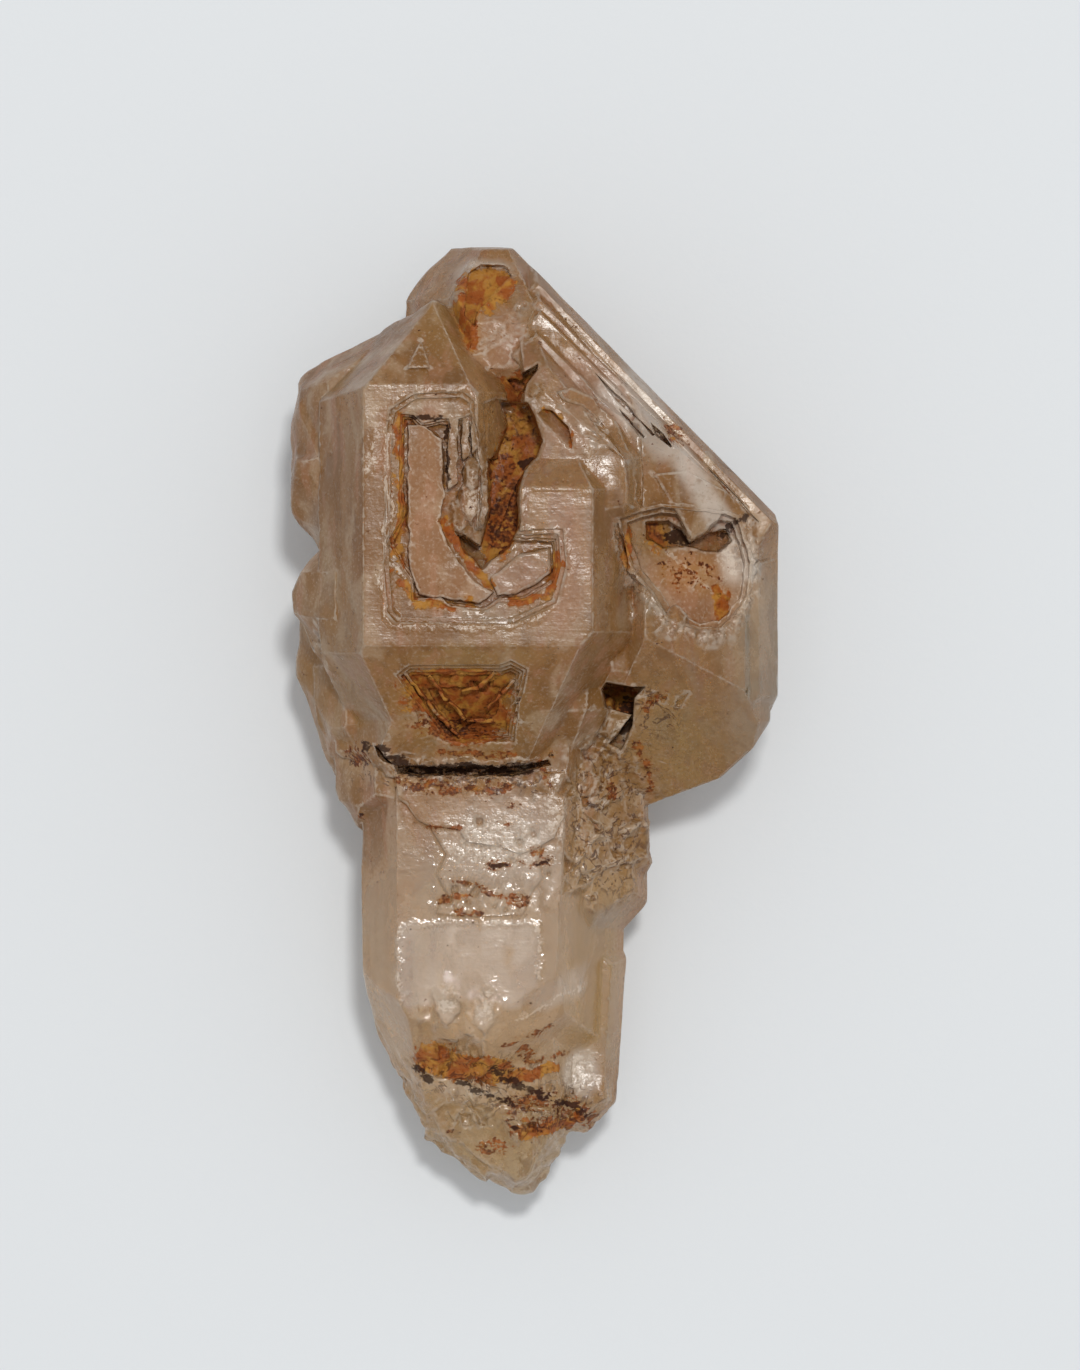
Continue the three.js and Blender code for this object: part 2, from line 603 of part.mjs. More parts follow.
function carveEye(solid) {
  const surface = (x) => 19.6 - (x - 5.2) * Math.tan(radians(18));
  const tongue = column(TONGUE, 15, (x, y) => surface(x) - 0.1 + (y - 13) * 0.12, { topInset: 0.2 });
  const rim = column(inset(EYE, -0.3), 14, (x) => surface(x) + 0.1, { topInset: 0.2 });
  const topOfRim = (x) => surface(x) + 0.3;
  return solid
    .add(rim)
    .subtract(hopper(EYE, topOfRim, { steps: 2, run: 0.35, drop: 1.05 }))
    .subtract(column(EYE_PIT, (x) => surface(x) - 3.3, OPEN_Z, { bottomInset: 0.4 }))
    .add(tongue);
}

// Fine grooves between the plates, in their direction.
const GROOVES = [
  { inFrom: 0.9, from: -16.5, length: 5.5, width: 0.3, depth: 0.5, z: 17.2 },
  { inFrom: 1.9, from: -13, length: 5.5, width: 0.35, depth: 0.8, z: 18.2 },
  { inFrom: 2.4, from: -10.4, length: 2.6, width: 0.45, depth: 0.8, z: 18.3 },
  { inFrom: 1.6, from: -8.4, length: 2.2, width: 0.4, depth: 0.7, z: 17.6 },
  { inFrom: 1, from: -4, length: 5, width: 0.3, depth: 0.5, z: 16.9 },
];

function carveLedges(solid) {
  const cuts = GROOVES.map(({ inFrom, from, length, width, depth, z }) => {
    const outline = [
      besideEdge(from, inFrom),
      besideEdge(from + length * 0.5, inFrom - width * 0.4),
      besideEdge(from + length, inFrom + width * 0.1),
      besideEdge(from + length, inFrom + width * 0.7),
      besideEdge(from + length * 0.4, inFrom + width),
    ];
    return column(outline, z - depth, OPEN_Z, { bottomInset: width * 0.2 });
  });
  return cuts.reduce((all, cut) => all.subtract(cut), solid);
}

// Small crystals scattered over an area, parallel to the large ones, each sunk in the surface by a share of
// its radius. With no share given they are pits, to be cut away.
function scattered(solid, { outline, count, radius: [small, large], long = 1.9, sunk, seed }) {
  const number = numbersFrom(seed);
  const surface = new THREE.Mesh(geometryOf(solid), new THREE.MeshBasicMaterial({ side: THREE.DoubleSide }));
  const down = new THREE.Vector3(0, 0, -1);
  const shape = outline.map(([x, y]) => new THREE.Vector2(x, y));
  const box = new THREE.Box2().setFromPoints(shape);
  const found = [];
  for (let tries = 0; found.length < count && tries < count * 30; tries++) {
    const x = box.min.x + (box.max.x - box.min.x) * number();
    const y = box.min.y + (box.max.y - box.min.y) * number();
    const radius = small + (large - small) * number() ** 1.6;
    const turn = number() * 0.5 - 0.25;
    if (!isInside(shape, x, y)) continue;
    const [hit] = new THREE.Raycaster(new THREE.Vector3(x, y, OPEN_Z), down).intersectObject(surface);
    if (!hit) continue;
    if (sunk === undefined) {
      found.push(pit({ centre: [x, y, hit.point.z], radius, long, lean: turn * 60 }));
      continue;
    }
    const centre = [x, y, hit.point.z - radius * sunk];
    const top = facet(90 + turn * 300, 30 + 40 * number(), x, y, centre[2] + radius * 0.9);
    found.push(grain({ centre, radius, reach: radius * long }, [top]));
  }
  return joined(found);
}

function isInside(shape, x, y) {
  let inside = false;
  for (let i = 0, j = shape.length - 1; i < shape.length; j = i++) {
    const a = shape[i];
    const b = shape[j];
    if (a.y > y !== b.y > y && x < a.x + ((y - a.y) / (b.y - a.y)) * (b.x - a.x)) inside = !inside;
  }
  return inside;
}

const area = (x0, y0, x1, y1) => [[x0, y0], [x1, y0], [x1, y1], [x0, y1]];
const LUMPS = [
  { outline: area(-1.4, 20.4, 0.6, 22.4), count: 3, radius: [0.4, 0.6], long: 1.2, sunk: 0.4, seed: 83 },
  { outline: area(4.2, -1.2, 6.2, 2), count: 3, radius: [0.5, 0.8], long: 1.6, sunk: 0.5, seed: 89 },
  { outline: area(-8.6, -2.4, 0.6, -1.4), count: 3, radius: [0.5, 0.8], long: 1.1, sunk: 0.8, seed: 97 },
  { outline: area(-2.2, 16.8, 0.4, 19.8), count: 5, radius: [0.6, 0.9], long: 1.2, sunk: 0.6, seed: 13 },
  { outline: area(5.2, 4.6, 7, 12), count: 3, radius: [0.6, 0.9], long: 2.2, sunk: 0.75, seed: 17 },
  { outline: area(7.6, 6.4, 13, 9.6), count: 3, radius: [0.5, 0.8], long: 1.4, sunk: 0.85, seed: 19 },
  { outline: area(-9.4, -3.7, 1, -3.3), count: 5, radius: [0.35, 0.6], long: 1.1, sunk: 0.8, seed: 23 },
  { outline: area(2.2, -11, 5.8, -3.6), count: 9, radius: [0.9, 1.4], long: 1.3, sunk: 0.84, seed: 29 },
  { outline: area(-7.6, -19, -2, -16.7), count: 3, radius: [0.5, 0.8], long: 1.3, sunk: 0.8, seed: 31 },
  { outline: area(-5.8, -26, 2.4, -22), count: 8, radius: [0.8, 1.2], long: 1.3, sunk: 0.86, seed: 37 },
  { outline: area(-3.8, 26.4, -1.6, 28.4), count: 4, radius: [0.5, 0.8], long: 1.1, sunk: 0.9, seed: 71 },
];
const PITS = [
  { outline: area(2, -11.6, 6.6, -1.8), count: 13, radius: [0.2, 0.38], seed: 43 },
  { outline: area(-3.4, -9.6, 1.4, -6.2), count: 6, radius: [0.14, 0.26], seed: 47 },
  { outline: area(-6.2, -12, -0.8, -9.8), count: 8, radius: [0.16, 0.3], seed: 53 },
  { outline: area(-7, -22.2, -2.3, -20.4), count: 6, radius: [0.25, 0.5], seed: 59 },
  { outline: area(-4.6, -26, 3.6, -22.7), count: 10, radius: [0.22, 0.45], seed: 61 },
  { outline: area(6.6, 0.4, 9.2, 2.6), count: 5, radius: [0.18, 0.3], seed: 67 },
  { outline: area(-7.2, -0.4, -1, 3), count: 6, radius: [0.25, 0.45], seed: 73 },
];

// The underside: a shallow stepped hollow in the face that it lies on, and etched triangles.
const BACK_HOLLOW = [
  [-3.6, 15.4], [0.6, 16.2], [2.8, 13.6], [2.6, 8.4], [-0.4, 6.4], [-3.2, 7.8], [-4.2, 11],
];

function carveBack(solid) {
  const flip = (one) => one.rotate([0, 180, 0]);
  const hollow = hopper(BACK_HOLLOW, () => OPEN_Z - 0.01, { steps: 3, run: 0.5, drop: 0.35 });
  return solid.subtract(flip(hollow.translate([0, 0, -OPEN_Z])));
}

function scatter(solid) {
  const lumped = LUMPS.reduce((all, spot) => all.add(scattered(all, spot)), solid);
  return PITS.reduce((all, spot) => all.subtract(scattered(all, spot)), lumped);
}

// Gaps between the crystals: under the lip of the head, beside the stem, and behind the knob.
const LIP_GAP = [
  [-10.2, -1.2], [-8.7, -2.5], [-5.9, -2.6], [-1.6, -2.6], [1, -2.1], [1.4, -2.8], [-1.4, -3.5],
  [-6, -3.6], [-8.4, -3.4], [-9.8, -2.4],
];
const SIDE_GAP = [
  [4.1, 2.1], [4.5, 2.7], [6.2, 2.4], [7.3, 2.4], [6.5, 1.5], [6.4, -0.2], [5.9, -1.4], [5.5, -2.3],
  [5.2, -1.8], [4.4, -1.4], [5.9, 0.4], [4.4, 0.8],
];
const KNOB_GAP = [
  [-2.2, 21.7], [-1.2, 21.9], [-0.2, 22.4], [0.5, 22.9], [0.5, 22], [-0.2, 21.1], [-0.4, 20.3],
  [-1.4, 20.7],
];

function openGaps(solid) {
  const lip = column(LIP_GAP, 13.2, OPEN_Z, { bottomInset: 0.25 });
  const side = column(SIDE_GAP, (x, y) => 9.6 + (2.4 - y) * 0.5, OPEN_Z, { bottomInset: 0.2 });
  const knob = column(KNOB_GAP, 16.8, OPEN_Z, { bottomInset: 0.3 });
  return solid.subtract(lip).subtract(side).subtract(knob);
}

// The flat sides of the box that the specimen fills: the table below, and its chipped extremes.
const LIMITS = [
  facet(0, 90, 15.4, 0, 0),
  facet(180, 90, -15.4, 0, 0),
  facet(90, 90, 0, TIP_Y, 0),
  facet(270, 90, 0, FOOT_Y, 0),
  facet(EDGE_BEARING, 90, 15.2, 13.1, 0),
  facet(16, 90, 15.2, 13.1, 0),
  facet(0, 0, 0, 0, HEAD_Z),
  facet(0, 180, 0, 0, 0),
];

// Moved so that its box is centred on the origin in plan and stands on the table.
function centred(solid) {
  const { min, max } = solid.boundingBox();
  return solid.translate([-(min[0] + max[0]) / 2, -(min[1] + max[1]) / 2, -min[2]]);
}

function sceptre() {
  const grown = joined([head(), collar(), stem()]);
  const carved = [rimmed, carveLedges, carveFace, carveEnds, carveEye, openGaps, scatter, carveBack].reduce(
    (solid, step) => step(solid),
    grown,
  );
  const trimmed = carved.intersect(behind(LIMITS)).simplify(SMALLEST_STEP);
  const [whole] = trimmed.decompose().sort((a, b) => b.volume() - a.volume());
  return centred(whole);
}

function geometryOf(solid) {
  const { numProp, vertProperties, triVerts } = solid.getMesh();
  const positions = new Float32Array((vertProperties.length / numProp) * 3);
  for (let i = 0; i < positions.length / 3; i++)
    positions.set(vertProperties.subarray(i * numProp, i * numProp + 3), i * 3);
  return new THREE.BufferGeometry()
    .setAttribute("position", new THREE.BufferAttribute(positions, 3))
    .setIndex(new THREE.BufferAttribute(new Uint32Array(triVerts), 1));
}

function meshOf(solid, name, colour) {
  const material = new THREE.MeshStandardMaterial({ color: colour, roughness: 0.25, metalness: 0 });
  const mesh = new THREE.Mesh(geometryOf(solid), material);
  mesh.name = name;
  return mesh;
}

const part = new THREE.Group();
part.add(meshOf(sceptre(), "quartz_crystal", 0xb59a84));
export default part;
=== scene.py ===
"""A skeletal quartz sceptre on a pale floor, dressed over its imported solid."""

import logging
import math
from dataclasses import dataclass, field
from enum import Enum
from typing import Any, ClassVar, Iterable, Sequence

import bmesh
import bpy
import numpy as np
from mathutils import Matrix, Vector, noise
from mathutils.bvhtree import BVHTree

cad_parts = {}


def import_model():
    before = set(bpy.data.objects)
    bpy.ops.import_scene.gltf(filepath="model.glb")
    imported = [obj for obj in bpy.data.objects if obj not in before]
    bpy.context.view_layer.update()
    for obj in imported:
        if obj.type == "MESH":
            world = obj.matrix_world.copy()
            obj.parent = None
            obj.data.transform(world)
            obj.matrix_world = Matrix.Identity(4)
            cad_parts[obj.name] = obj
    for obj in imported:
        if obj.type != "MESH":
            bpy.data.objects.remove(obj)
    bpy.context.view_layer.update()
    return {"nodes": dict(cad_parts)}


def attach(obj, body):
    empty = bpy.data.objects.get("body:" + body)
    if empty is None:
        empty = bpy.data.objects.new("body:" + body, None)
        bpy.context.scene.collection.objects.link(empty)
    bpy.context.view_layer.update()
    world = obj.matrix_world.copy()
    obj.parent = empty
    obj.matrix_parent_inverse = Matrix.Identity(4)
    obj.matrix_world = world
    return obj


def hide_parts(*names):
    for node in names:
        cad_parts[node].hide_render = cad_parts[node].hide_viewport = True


log = logging.getLogger("quartz")

SEED = 7
MM = 0.001
Triple = tuple[float, float, float]
Pair = tuple[float, float]


@dataclass(frozen=True)
class Cloud:
    """One soft noise of a finish.

    Attributes:
        size: The width of its lumps in millimetres.
        detail: How many finer layers it has.
        stretch: How many times finer it is along each axis.
        shift: Moves it, so that two clouds of one size differ.
        bend: How far it curls on itself, as a veil does.
    """

    size: float
    detail: float = 3.0
    stretch: Triple = (1, 1, 1)
    shift: float = 0.0
    bend: float = 0.0


class Term:
    """One number socket in a shader, on which arithmetic adds Math nodes."""

    def __init__(self, tree: "Tree", socket: bpy.types.NodeSocket) -> None:
        """Keeps the socket and the tree that it is in."""
        self.tree = tree
        self.socket = socket

    def _with(self, operation: str, *others: Any) -> "Term":
        """Adds one Math node.

        Args:
            operation: The Math node's operation.
            others: Its values in order, this term among them.

        Returns:
            The node's result.
        """
        node = self.tree.add("ShaderNodeMath", {"operation": operation}, *others)
        return Term(self.tree, node.outputs[0])

    def __add__(self, other: Any) -> "Term":
        """Adds."""
        return self._with("ADD", self, other)

    def __radd__(self, other: Any) -> "Term":
        """Adds, with the number first."""
        return self._with("ADD", other, self)

    def __sub__(self, other: Any) -> "Term":
        """Takes away."""
        return self._with("SUBTRACT", self, other)

    def __rsub__(self, other: Any) -> "Term":
        """Takes this away from a number."""
        return self._with("SUBTRACT", other, self)

    def __mul__(self, other: Any) -> "Term":
        """Multiplies."""
        return self._with("MULTIPLY", self, other)

    def __rmul__(self, other: Any) -> "Term":
        """Multiplies, with the number first."""
        return self._with("MULTIPLY", other, self)

    def __or__(self, other: Any) -> "Term":
        """The larger of the two, as masks join."""
        return self._with("MAXIMUM", self, other)

    def step(self, low: float, high: float) -> "Term":
        """A smooth rise from 0 at low to 1 at high.

        Args:
            low: Where the result is 0.
            high: Where it is 1. It may be the smaller of the two.

        Returns:
            The result, kept from 0 to 1.
        """
        start, end, first, last = (low, high, 0.0, 1.0) if low < high else (high, low, 1.0, 0.0)
        node = self.tree.add(
            "ShaderNodeMapRange", {"interpolation_type": "SMOOTHSTEP"}, self, start, end, first, last
        )
        return Term(self.tree, node.outputs[0])

    def kept(self) -> "Term":
        """The value kept from 0 to 1."""
        node = self.tree.add("ShaderNodeClamp", {}, self)
        return Term(self.tree, node.outputs[0])


class Tree:
    """The nodes of one material, placed in millimetres of the part's own frame."""

    # The colour sockets of a Mix node.
    MIX_SHARE = 0
    MIX_FIRST = 6
    MIX_SECOND = 7
    MIX_RESULT = 2

    def __init__(self, name: str) -> None:
        """Makes an empty material.

        Args:
            name: The material's name.
        """
        self.material = bpy.data.materials.new(name)
        self.material.use_nodes = True
        self.nodes = self.material.node_tree.nodes
        self.links = self.material.node_tree.links
        self.nodes.clear()
        place = self.add("ShaderNodeTexCoord", {})
        self.place = self.scaled(place.outputs["Object"], (1 / MM, 1 / MM, 1 / MM))

    def add(self, kind: str, settings: dict[str, Any], *values: Any, **named: Any) -> bpy.types.Node:
        """Adds one node.

        Args:
            kind: The node's type.
            settings: Its properties, which are set before its sockets.
            values: Its first sockets in order. None leaves one as it is.
            named: Other sockets by name, with underscores for spaces.

        Returns:
            The node.
        """
        node = self.nodes.new(kind)
        for key, value in settings.items():
            setattr(node, key, value)
        sockets = [(node.inputs[i], value) for i, value in enumerate(values)]
        sockets += [(node.inputs[key.replace("_", " ")], value) for key, value in named.items()]
        for socket, value in sockets:
            self.put(socket, value)
        return node

    def put(self, socket: bpy.types.NodeSocket, value: Any) -> None:
        """Links or sets one socket.

        Args:
            socket: The socket.
            value: A term or a socket to link, a number, a colour or a vector to set, or None to leave it.
        """
        if value is None:
            return
        if isinstance(value, Term):
            value = value.socket
        if isinstance(value, bpy.types.NodeSocket):
            self.links.new(value, socket)
        elif isinstance(value, tuple) and len(value) == 3 and socket.type == "RGBA":
            socket.default_value = (*value, 1.0)
        else:
            socket.default_value = value

    def vector(self, operation: str, *values: Any) -> bpy.types.NodeSocket:
        """A Vector Math node's vector.

        Args:
            operation: The node's operation.
            values: Its sockets in order.

        Returns:
            Its vector output.
        """
        return self.add("ShaderNodeVectorMath", {"operation": operation}, *values).outputs["Vector"]

    def scaled(self, vector: bpy.types.NodeSocket, by: Triple) -> bpy.types.NodeSocket:
        """The vector times a number for each of its axes."""
        return self.vector("MULTIPLY", vector, by)

    def cloud(self, cloud: Cloud) -> Term:
        """Soft noise from 0 to 1.

        Args:
            cloud: What the noise is like.

        Returns:
            The noise.
        """
        shift = (cloud.shift, cloud.shift * 1.7, -cloud.shift)
        where = self.vector("ADD", self.scaled(self.place, cloud.stretch), shift)
        node = self.add(
            "ShaderNodeTexNoise", {}, where, Scale=1 / cloud.size, Detail=cloud.detail, Distortion=cloud.bend
        )
        return Term(self, node.outputs[0])

    def mix(self, first: Any, second: Any, share: Any) -> bpy.types.NodeSocket:
        """A blend of two colours.

        Args:
            first: The colour where share is 0.
            second: The colour where share is 1.
            share: The mask.

        Returns:
            The blended colour.
        """
        node = self.add("ShaderNodeMix", {"data_type": "RGBA"})
        self.put(node.inputs[self.MIX_SHARE], share)
        self.put(node.inputs[self.MIX_FIRST], first)
        self.put(node.inputs[self.MIX_SECOND], second)
        return node.outputs[self.MIX_RESULT]

    def bump(self, height: Term, strength: float, distance: float) -> bpy.types.NodeSocket:
        """A normal that follows a height.

        Args:
            height: The height, of about 0 to 1.
            strength: How strongly it shows.
            distance: What 1 is, in metres.

        Returns:
            The normal.
        """
        return self.add("ShaderNodeBump", {}, Strength=strength, Distance=distance, Height=height).outputs[0]

    def stored(self, name: str) -> Term:
        """A number that the mesh keeps at each of its points."""
        node = self.add("ShaderNodeAttribute", {"attribute_name": name, "attribute_type": "GEOMETRY"})
        return Term(self, node.outputs["Fac"])


def eased(share: np.ndarray) -> np.ndarray:
    """A share kept from 0 to 1, with its ends eased."""
    kept = np.clip(share, 0.0, 1.0)
    return kept * kept * (3 - 2 * kept)


@dataclass(frozen=True)
class Patch:
    """A soft-edged ellipsoid of the specimen, in millimetres."""

    centre: Triple
    reach: Triple
    edge: float = 0.35

    def weight(self, at: np.ndarray) -> np.ndarray:
        """How far inside the patch each point is.

        Args:
            at: The points in millimetres, one to a row.

        Returns:
            1 well inside the patch, 0 outside, and a smooth fall across its edge.
        """
        away = np.linalg.norm((at - np.array(self.centre)) / np.array(self.reach), axis=1)
        return eased((1 + self.edge - away) / (2 * self.edge))


@dataclass(frozen=True)
class Trace:
    """A soft-edged band along a bent line, seen from above, between two heights, in millimetres."""

    route: tuple[Pair, ...]
    width: float
    low: float
    high: float
    edge: float = 0.5

    def weight(self, at: np.ndarray) -> np.ndarray:
        """How far inside the band each point is.

        Args:
            at: The points in millimetres, one to a row.

        Returns:
            1 along the line, 0 outside the band, and a smooth fall across its edge.
        """
        away = np.full(len(at), np.inf)
        for start, end in zip(self.route, self.route[1:]):
            first, way = np.array(start), np.array(end) - np.array(start)
            share = np.clip((at[:, :2] - first) @ way / (way @ way), 0.0, 1.0)
            away = np.minimum(away, np.linalg.norm(at[:, :2] - first - share[:, None] * way, axis=1))
        across = eased((1 + self.edge - away / self.width) / (2 * self.edge))
        return across * ((at[:, 2] > self.low) & (at[:, 2] < self.high))


@dataclass(frozen=True)
class Ground:
    """Points of the mesh in millimetres, with the noise that shakes a region's outline there."""

    at: np.ndarray
    shake: np.ndarray
    COARSE_PITCH: ClassVar[float] = 0.9
    FINE_PITCH: ClassVar[float] = 2.6
    FINE_SHARE: ClassVar[float] = 0.5

    @classmethod
    def of(cls, at: np.ndarray) -> "Ground":
        """Adds the noise to some points.

        Args:
            at: The points in millimetres, one to a row.

        Returns:
            The points with their noise.
        """
        rows = [Vector(row) for row in at]
        coarse = np.array([noise.noise_vector(row * cls.COARSE_PITCH) for row in rows])
        fine = np.array([noise.noise_vector(row * cls.FINE_PITCH) for row in rows])
        return cls(at, coarse + fine * cls.FINE_SHARE)


@dataclass(frozen=True)
class Region:
    """Patches and traces that share a name, under which the mesh keeps how far inside them it is."""

    name: str
    parts: tuple[Patch | Trace, ...]
    shake: float = 0.0

    def weight(self, ground: Ground) -> np.ndarray:
        """How far inside any of its parts each point is, with their outlines shaken by noise."""
        moved = ground.at + ground.shake * self.shake
        return np.max([part.weight(moved) for part in self.parts], axis=0)


# Where the crystal's colours and finishes lie, in millimetres from the middle of the part.
RUST = Region(
    "rust",
    (
        Patch((-3.0, 27.2, 15.6), (1.9, 1.6, 3.6)),
        Patch((-4.1, 25.8, 16.6), (0.9, 1.6, 3.2)),
        Patch((-3.9, 24.2, 17.4), (0.5, 1.2, 3.0)),
        Patch((-1.9, 13.2, 17.4), (1.7, 4.6, 3.9), 0.25),
        Patch((-1.2, 16.4, 16.6), (1.9, 2.8, 3.4), 0.25),
        Patch((-0.4, 18.2, 17.6), (1.3, 1.9, 3.4)),
        Trace(((0.4, 19.5), (1.2, 19.5), (2.2, 18.4), (2.4, 16.9)), 0.2, 18.0, 20.6),
        Trace(((-8.4, 19.3), (-8.3, 12.8), (-8.7, 9.4), (-7.2, 7.5), (-5.2, 7.2)), 0.3, 19.0, 21.7),
        Trace(((-5.5, 12.6), (-4.6, 10.8), (-3.7, 9.5), (-2.6, 8.6)), 0.24, 17.0, 21.7),
        Trace(((-1.4, 7.5), (0.6, 7.7), (1.6, 9.2), (1.5, 10.6)), 0.3, 19.0, 21.7),
        Patch((-8.5, 9.4, 20.5), (0.6, 1.8, 0.9)),
        Patch((-4.1, 7.5, 20.8), (0.5, 0.4, 0.8)),
        Patch((-1.0, 7.6, 20.8), (0.6, 0.35, 0.8)),
        Patch((1.2, 9.3, 20.8), (0.35, 0.5, 0.8)),
        Patch((-5.0, 2.2, 18.4), (3.9, 2.1, 2.6), 0.3),
        Patch((-3.9, 0.4, 17.0), (2.6, 1.9, 2.4), 0.3),
        Patch((7.4, 11.4, 15.4), (1.2, 1.2, 2.0)),
        Patch((5.8, 10.9, 17.6), (0.5, 1.6, 2.2)),
        Patch((11.7, 7.4, 15.8), (0.5, 1.2, 1.4)),
        Patch((-0.6, 20.9, 17.4), (1.7, 1.3, 2.2)),
        Patch((5.4, 1.6, 11.0), (1.5, 1.3, 3.2)),
        Trace(((-6.6, -21.1), (-4.6, -21.7), (-2.4, -22.0)), 1.0, 8.0, 15.0),
        Trace(((-2.3, -22.3), (-1.2, -22.6), (0.6, -22.0), (1.2, -21.8)), 0.42, 8.0, 14.0),
        Trace(((-0.8, -26.3), (1.3, -25.6), (2.9, -25.0)), 0.42, 7.0, 13.0),
    ),
    0.4,
)
SPOTS = Region(
    "spots",
    (
        Patch((-1.05, -5.15, 15.6), (0.45, 0.3, 0.8)),
        Patch((-1.65, -6.25, 15.6), (0.3, 0.4, 0.8)),
        Trace(((-2.9, -8.95), (-1.7, -8.95)), 0.26, 14.0, 17.0),
        Trace(((-1.0, -8.8), (-0.7, -8.8)), 0.22, 14.0, 17.0),
        Trace(((0.0, -8.9), (0.8, -8.7)), 0.28, 14.0, 17.0),
        Trace(((-0.1, -8.1), (0.5, -8.0)), 0.22, 14.0, 17.0),
        Trace(((-6.9, -6.6), (-4.7, -6.7)), 0.16, 14.0, 17.0),
        Trace(((-6.9, -7.5), (-6.3, -7.5)), 0.16, 14.0, 17.0),
        Trace(((-5.0, -9.9), (-3.7, -10.1), (-2.9, -10.7), (-0.5, -11.1)), 0.24, 14.0, 17.0),
        Trace(((-5.9, -11.1), (-4.3, -11.0)), 0.26, 14.0, 17.0),
        Trace(((-4.8, -11.9), (-3.3, -12.0)), 0.26, 14.0, 17.0),
        Trace(((-1.5, -11.3), (-0.5, -11.4)), 0.26, 14.0, 17.0),
        Trace(((-8.4, -3.5), (-6.1, -4.2), (-1.8, -4.1)), 0.42, 13.0, 17.0, 0.7),
        Trace(((-6.2, -1.9), (-1.2, -2.0)), 0.22, 14.0, 18.0),
        Trace(((0.3, -2.6), (0.9, -4.0)), 0.22, 13.0, 17.0),
        Patch((1.2, -2.0, 15.4), (0.3, 0.3, 1.6)),
        Patch((-10.9, -5.7, 11.0), (0.3, 0.45, 3.0)),
        Patch((4.9, -4.3, 13.0), (0.3, 0.8, 2.4)),
        Trace(((6.4, -1.4), (7.2, -2.6), (7.4, -4.2)), 0.3, 9.0, 16.0, 0.7),
        Trace(((7.0, 0.9), (8.2, 2.0)), 0.35, 12.0, 18.0, 0.7),
        Patch((-10.8, -2.0, 13.0), (1.2, 1.0, 3.0), 0.6),
        Patch((-1.9, 13.4, 16.8), (1.3, 3.8, 3.0), 0.4),
        Patch((9.0, 9.4, 15.4), (2.4, 1.4, 1.4), 0.7),
        Patch((-8.9, 13.4, 20.2), (0.4, 5.6, 1.2), 0.5),
        Patch((8.6, 18.0, 17.0), (0.9, 1.2, 1.4)),
        Patch((10.1, 13.7, 17.4), (0.3, 0.3, 0.6)),
        Patch((-5.2, -0.2, 18.0), (3.2, 0.7, 3.0), 0.6),
        Trace(((-2.1, -20.5), (1.1, -19.1)), 0.16, 9.0, 15.0, 0.7),
        Trace(((-0.6, -21.5), (2.4, -20.8)), 0.16, 9.0, 15.0, 0.7),
        Trace(
            ((-1.0, -20.8), (-0.6, -20.4), (-0.1, -20.8), (-0.5, -21.25), (-1.0, -20.8)),
            0.19, 9.0, 15.0,
        ),
        Trace(((-1.6, -24.4), (0.4, -23.8), (2.2, -24.4), (3.4, -25.0)), 0.75, 7.0, 14.0, 0.7),
        Trace(((-1.4, -25.8), (1.6, -25.2)), 0.6, 7.0, 14.0, 0.7),
        Patch((-5.2, -25.9, 9.6), (0.3, 0.25, 2.0)),
        Patch((-2.6, -26.9, 10.0), (1.2, 0.6, 2.4), 0.5),
    ),
    0.22,
)
SOOT = Region(
    "soot",
    (
        Trace(
            ((-9.5, -1.8), (-7.7, -3.0), (-6.3, -2.9), (-4.0, -2.9), (-1.5, -3.0), (-0.4, -2.8)),
            0.4, 12.5, 17.0,
        ),
        Trace(((-10.6, -1.6), (-9.0, -1.5)), 0.4, 10.0, 16.0, 0.7),
        Patch((5.9, 0.1, 10.6), (0.8, 1.7, 2.8), 0.3),
        Patch((-0.3, 16.3, 16.6), (0.75, 0.5, 2.4), 0.3),
        Patch((9.0, 11.6, 14.8), (1.0, 0.5, 1.2), 0.3),
        Trace(((11.7, 11.5), (12.6, 12.5), (13.2, 12.9)), 0.25, 14.0, 18.0),
        Patch((0.4, 22.6, 17.0), (0.7, 0.6, 2.2), 0.3),
        Trace(((-7.4, -21.7), (-6.6, -22.6)), 0.32, 8.0, 14.0),
        Trace(((-4.8, -22.6), (-3.4, -23.4), (-1.4, -24.2)), 0.2, 8.0, 14.0, 0.7),
        Trace(((-2.6, -22.0), (-0.8, -23.0), (1.4, -23.9), (3.2, -24.8)), 0.34, 8.0, 14.0, 1.0),
        Patch((-1.2, -25.7, 10.0), (0.45, 0.3, 1.6)),
        Trace(((-2.7, -8.95), (-1.8, -8.95)), 0.17, 14.0, 17.0),
        Trace(((0.1, -8.9), (0.7, -8.7)), 0.17, 14.0, 17.0),
        Patch((-1.05, -5.15, 15.6), (0.3, 0.2, 0.8)),
        Patch((1.2, -2.0, 15.4), (0.22, 0.22, 1.6)),
        Patch((-10.9, -5.7, 11.0), (0.22, 0.35, 3.0)),
        Trace(((-7.6, 19.1), (-5.9, 19.1)), 0.2, 18.0, 21.7),
        Trace(((-5.4, 18.6), (-5.4, 15.2)), 0.12, 18.0, 21.6),
    ),
    0.22,
)
PINK = Region(
    "pink",
    (
        Patch((-6.6, 13.0, 21.0), (1.6, 6.4, 1.0)),
        Patch((-2.0, 8.6, 20.8), (4.4, 1.8, 1.2)),
        Patch((-2.4, 24.0, 18.4), (1.9, 2.2, 1.4)),
        Patch((9.6, 8.2, 16.0), (3.8, 2.8, 2.2)),
        Patch((2.0, 9.4, 22.0), (1.2, 4.4, 0.8)),
        Patch((2.2, 17.8, 19.4), (1.6, 2.4, 1.6)),
        Patch((4.4, 21.0, 18.6), (4.0, 2.6, 2.0)),
    ),
    0.4,
)
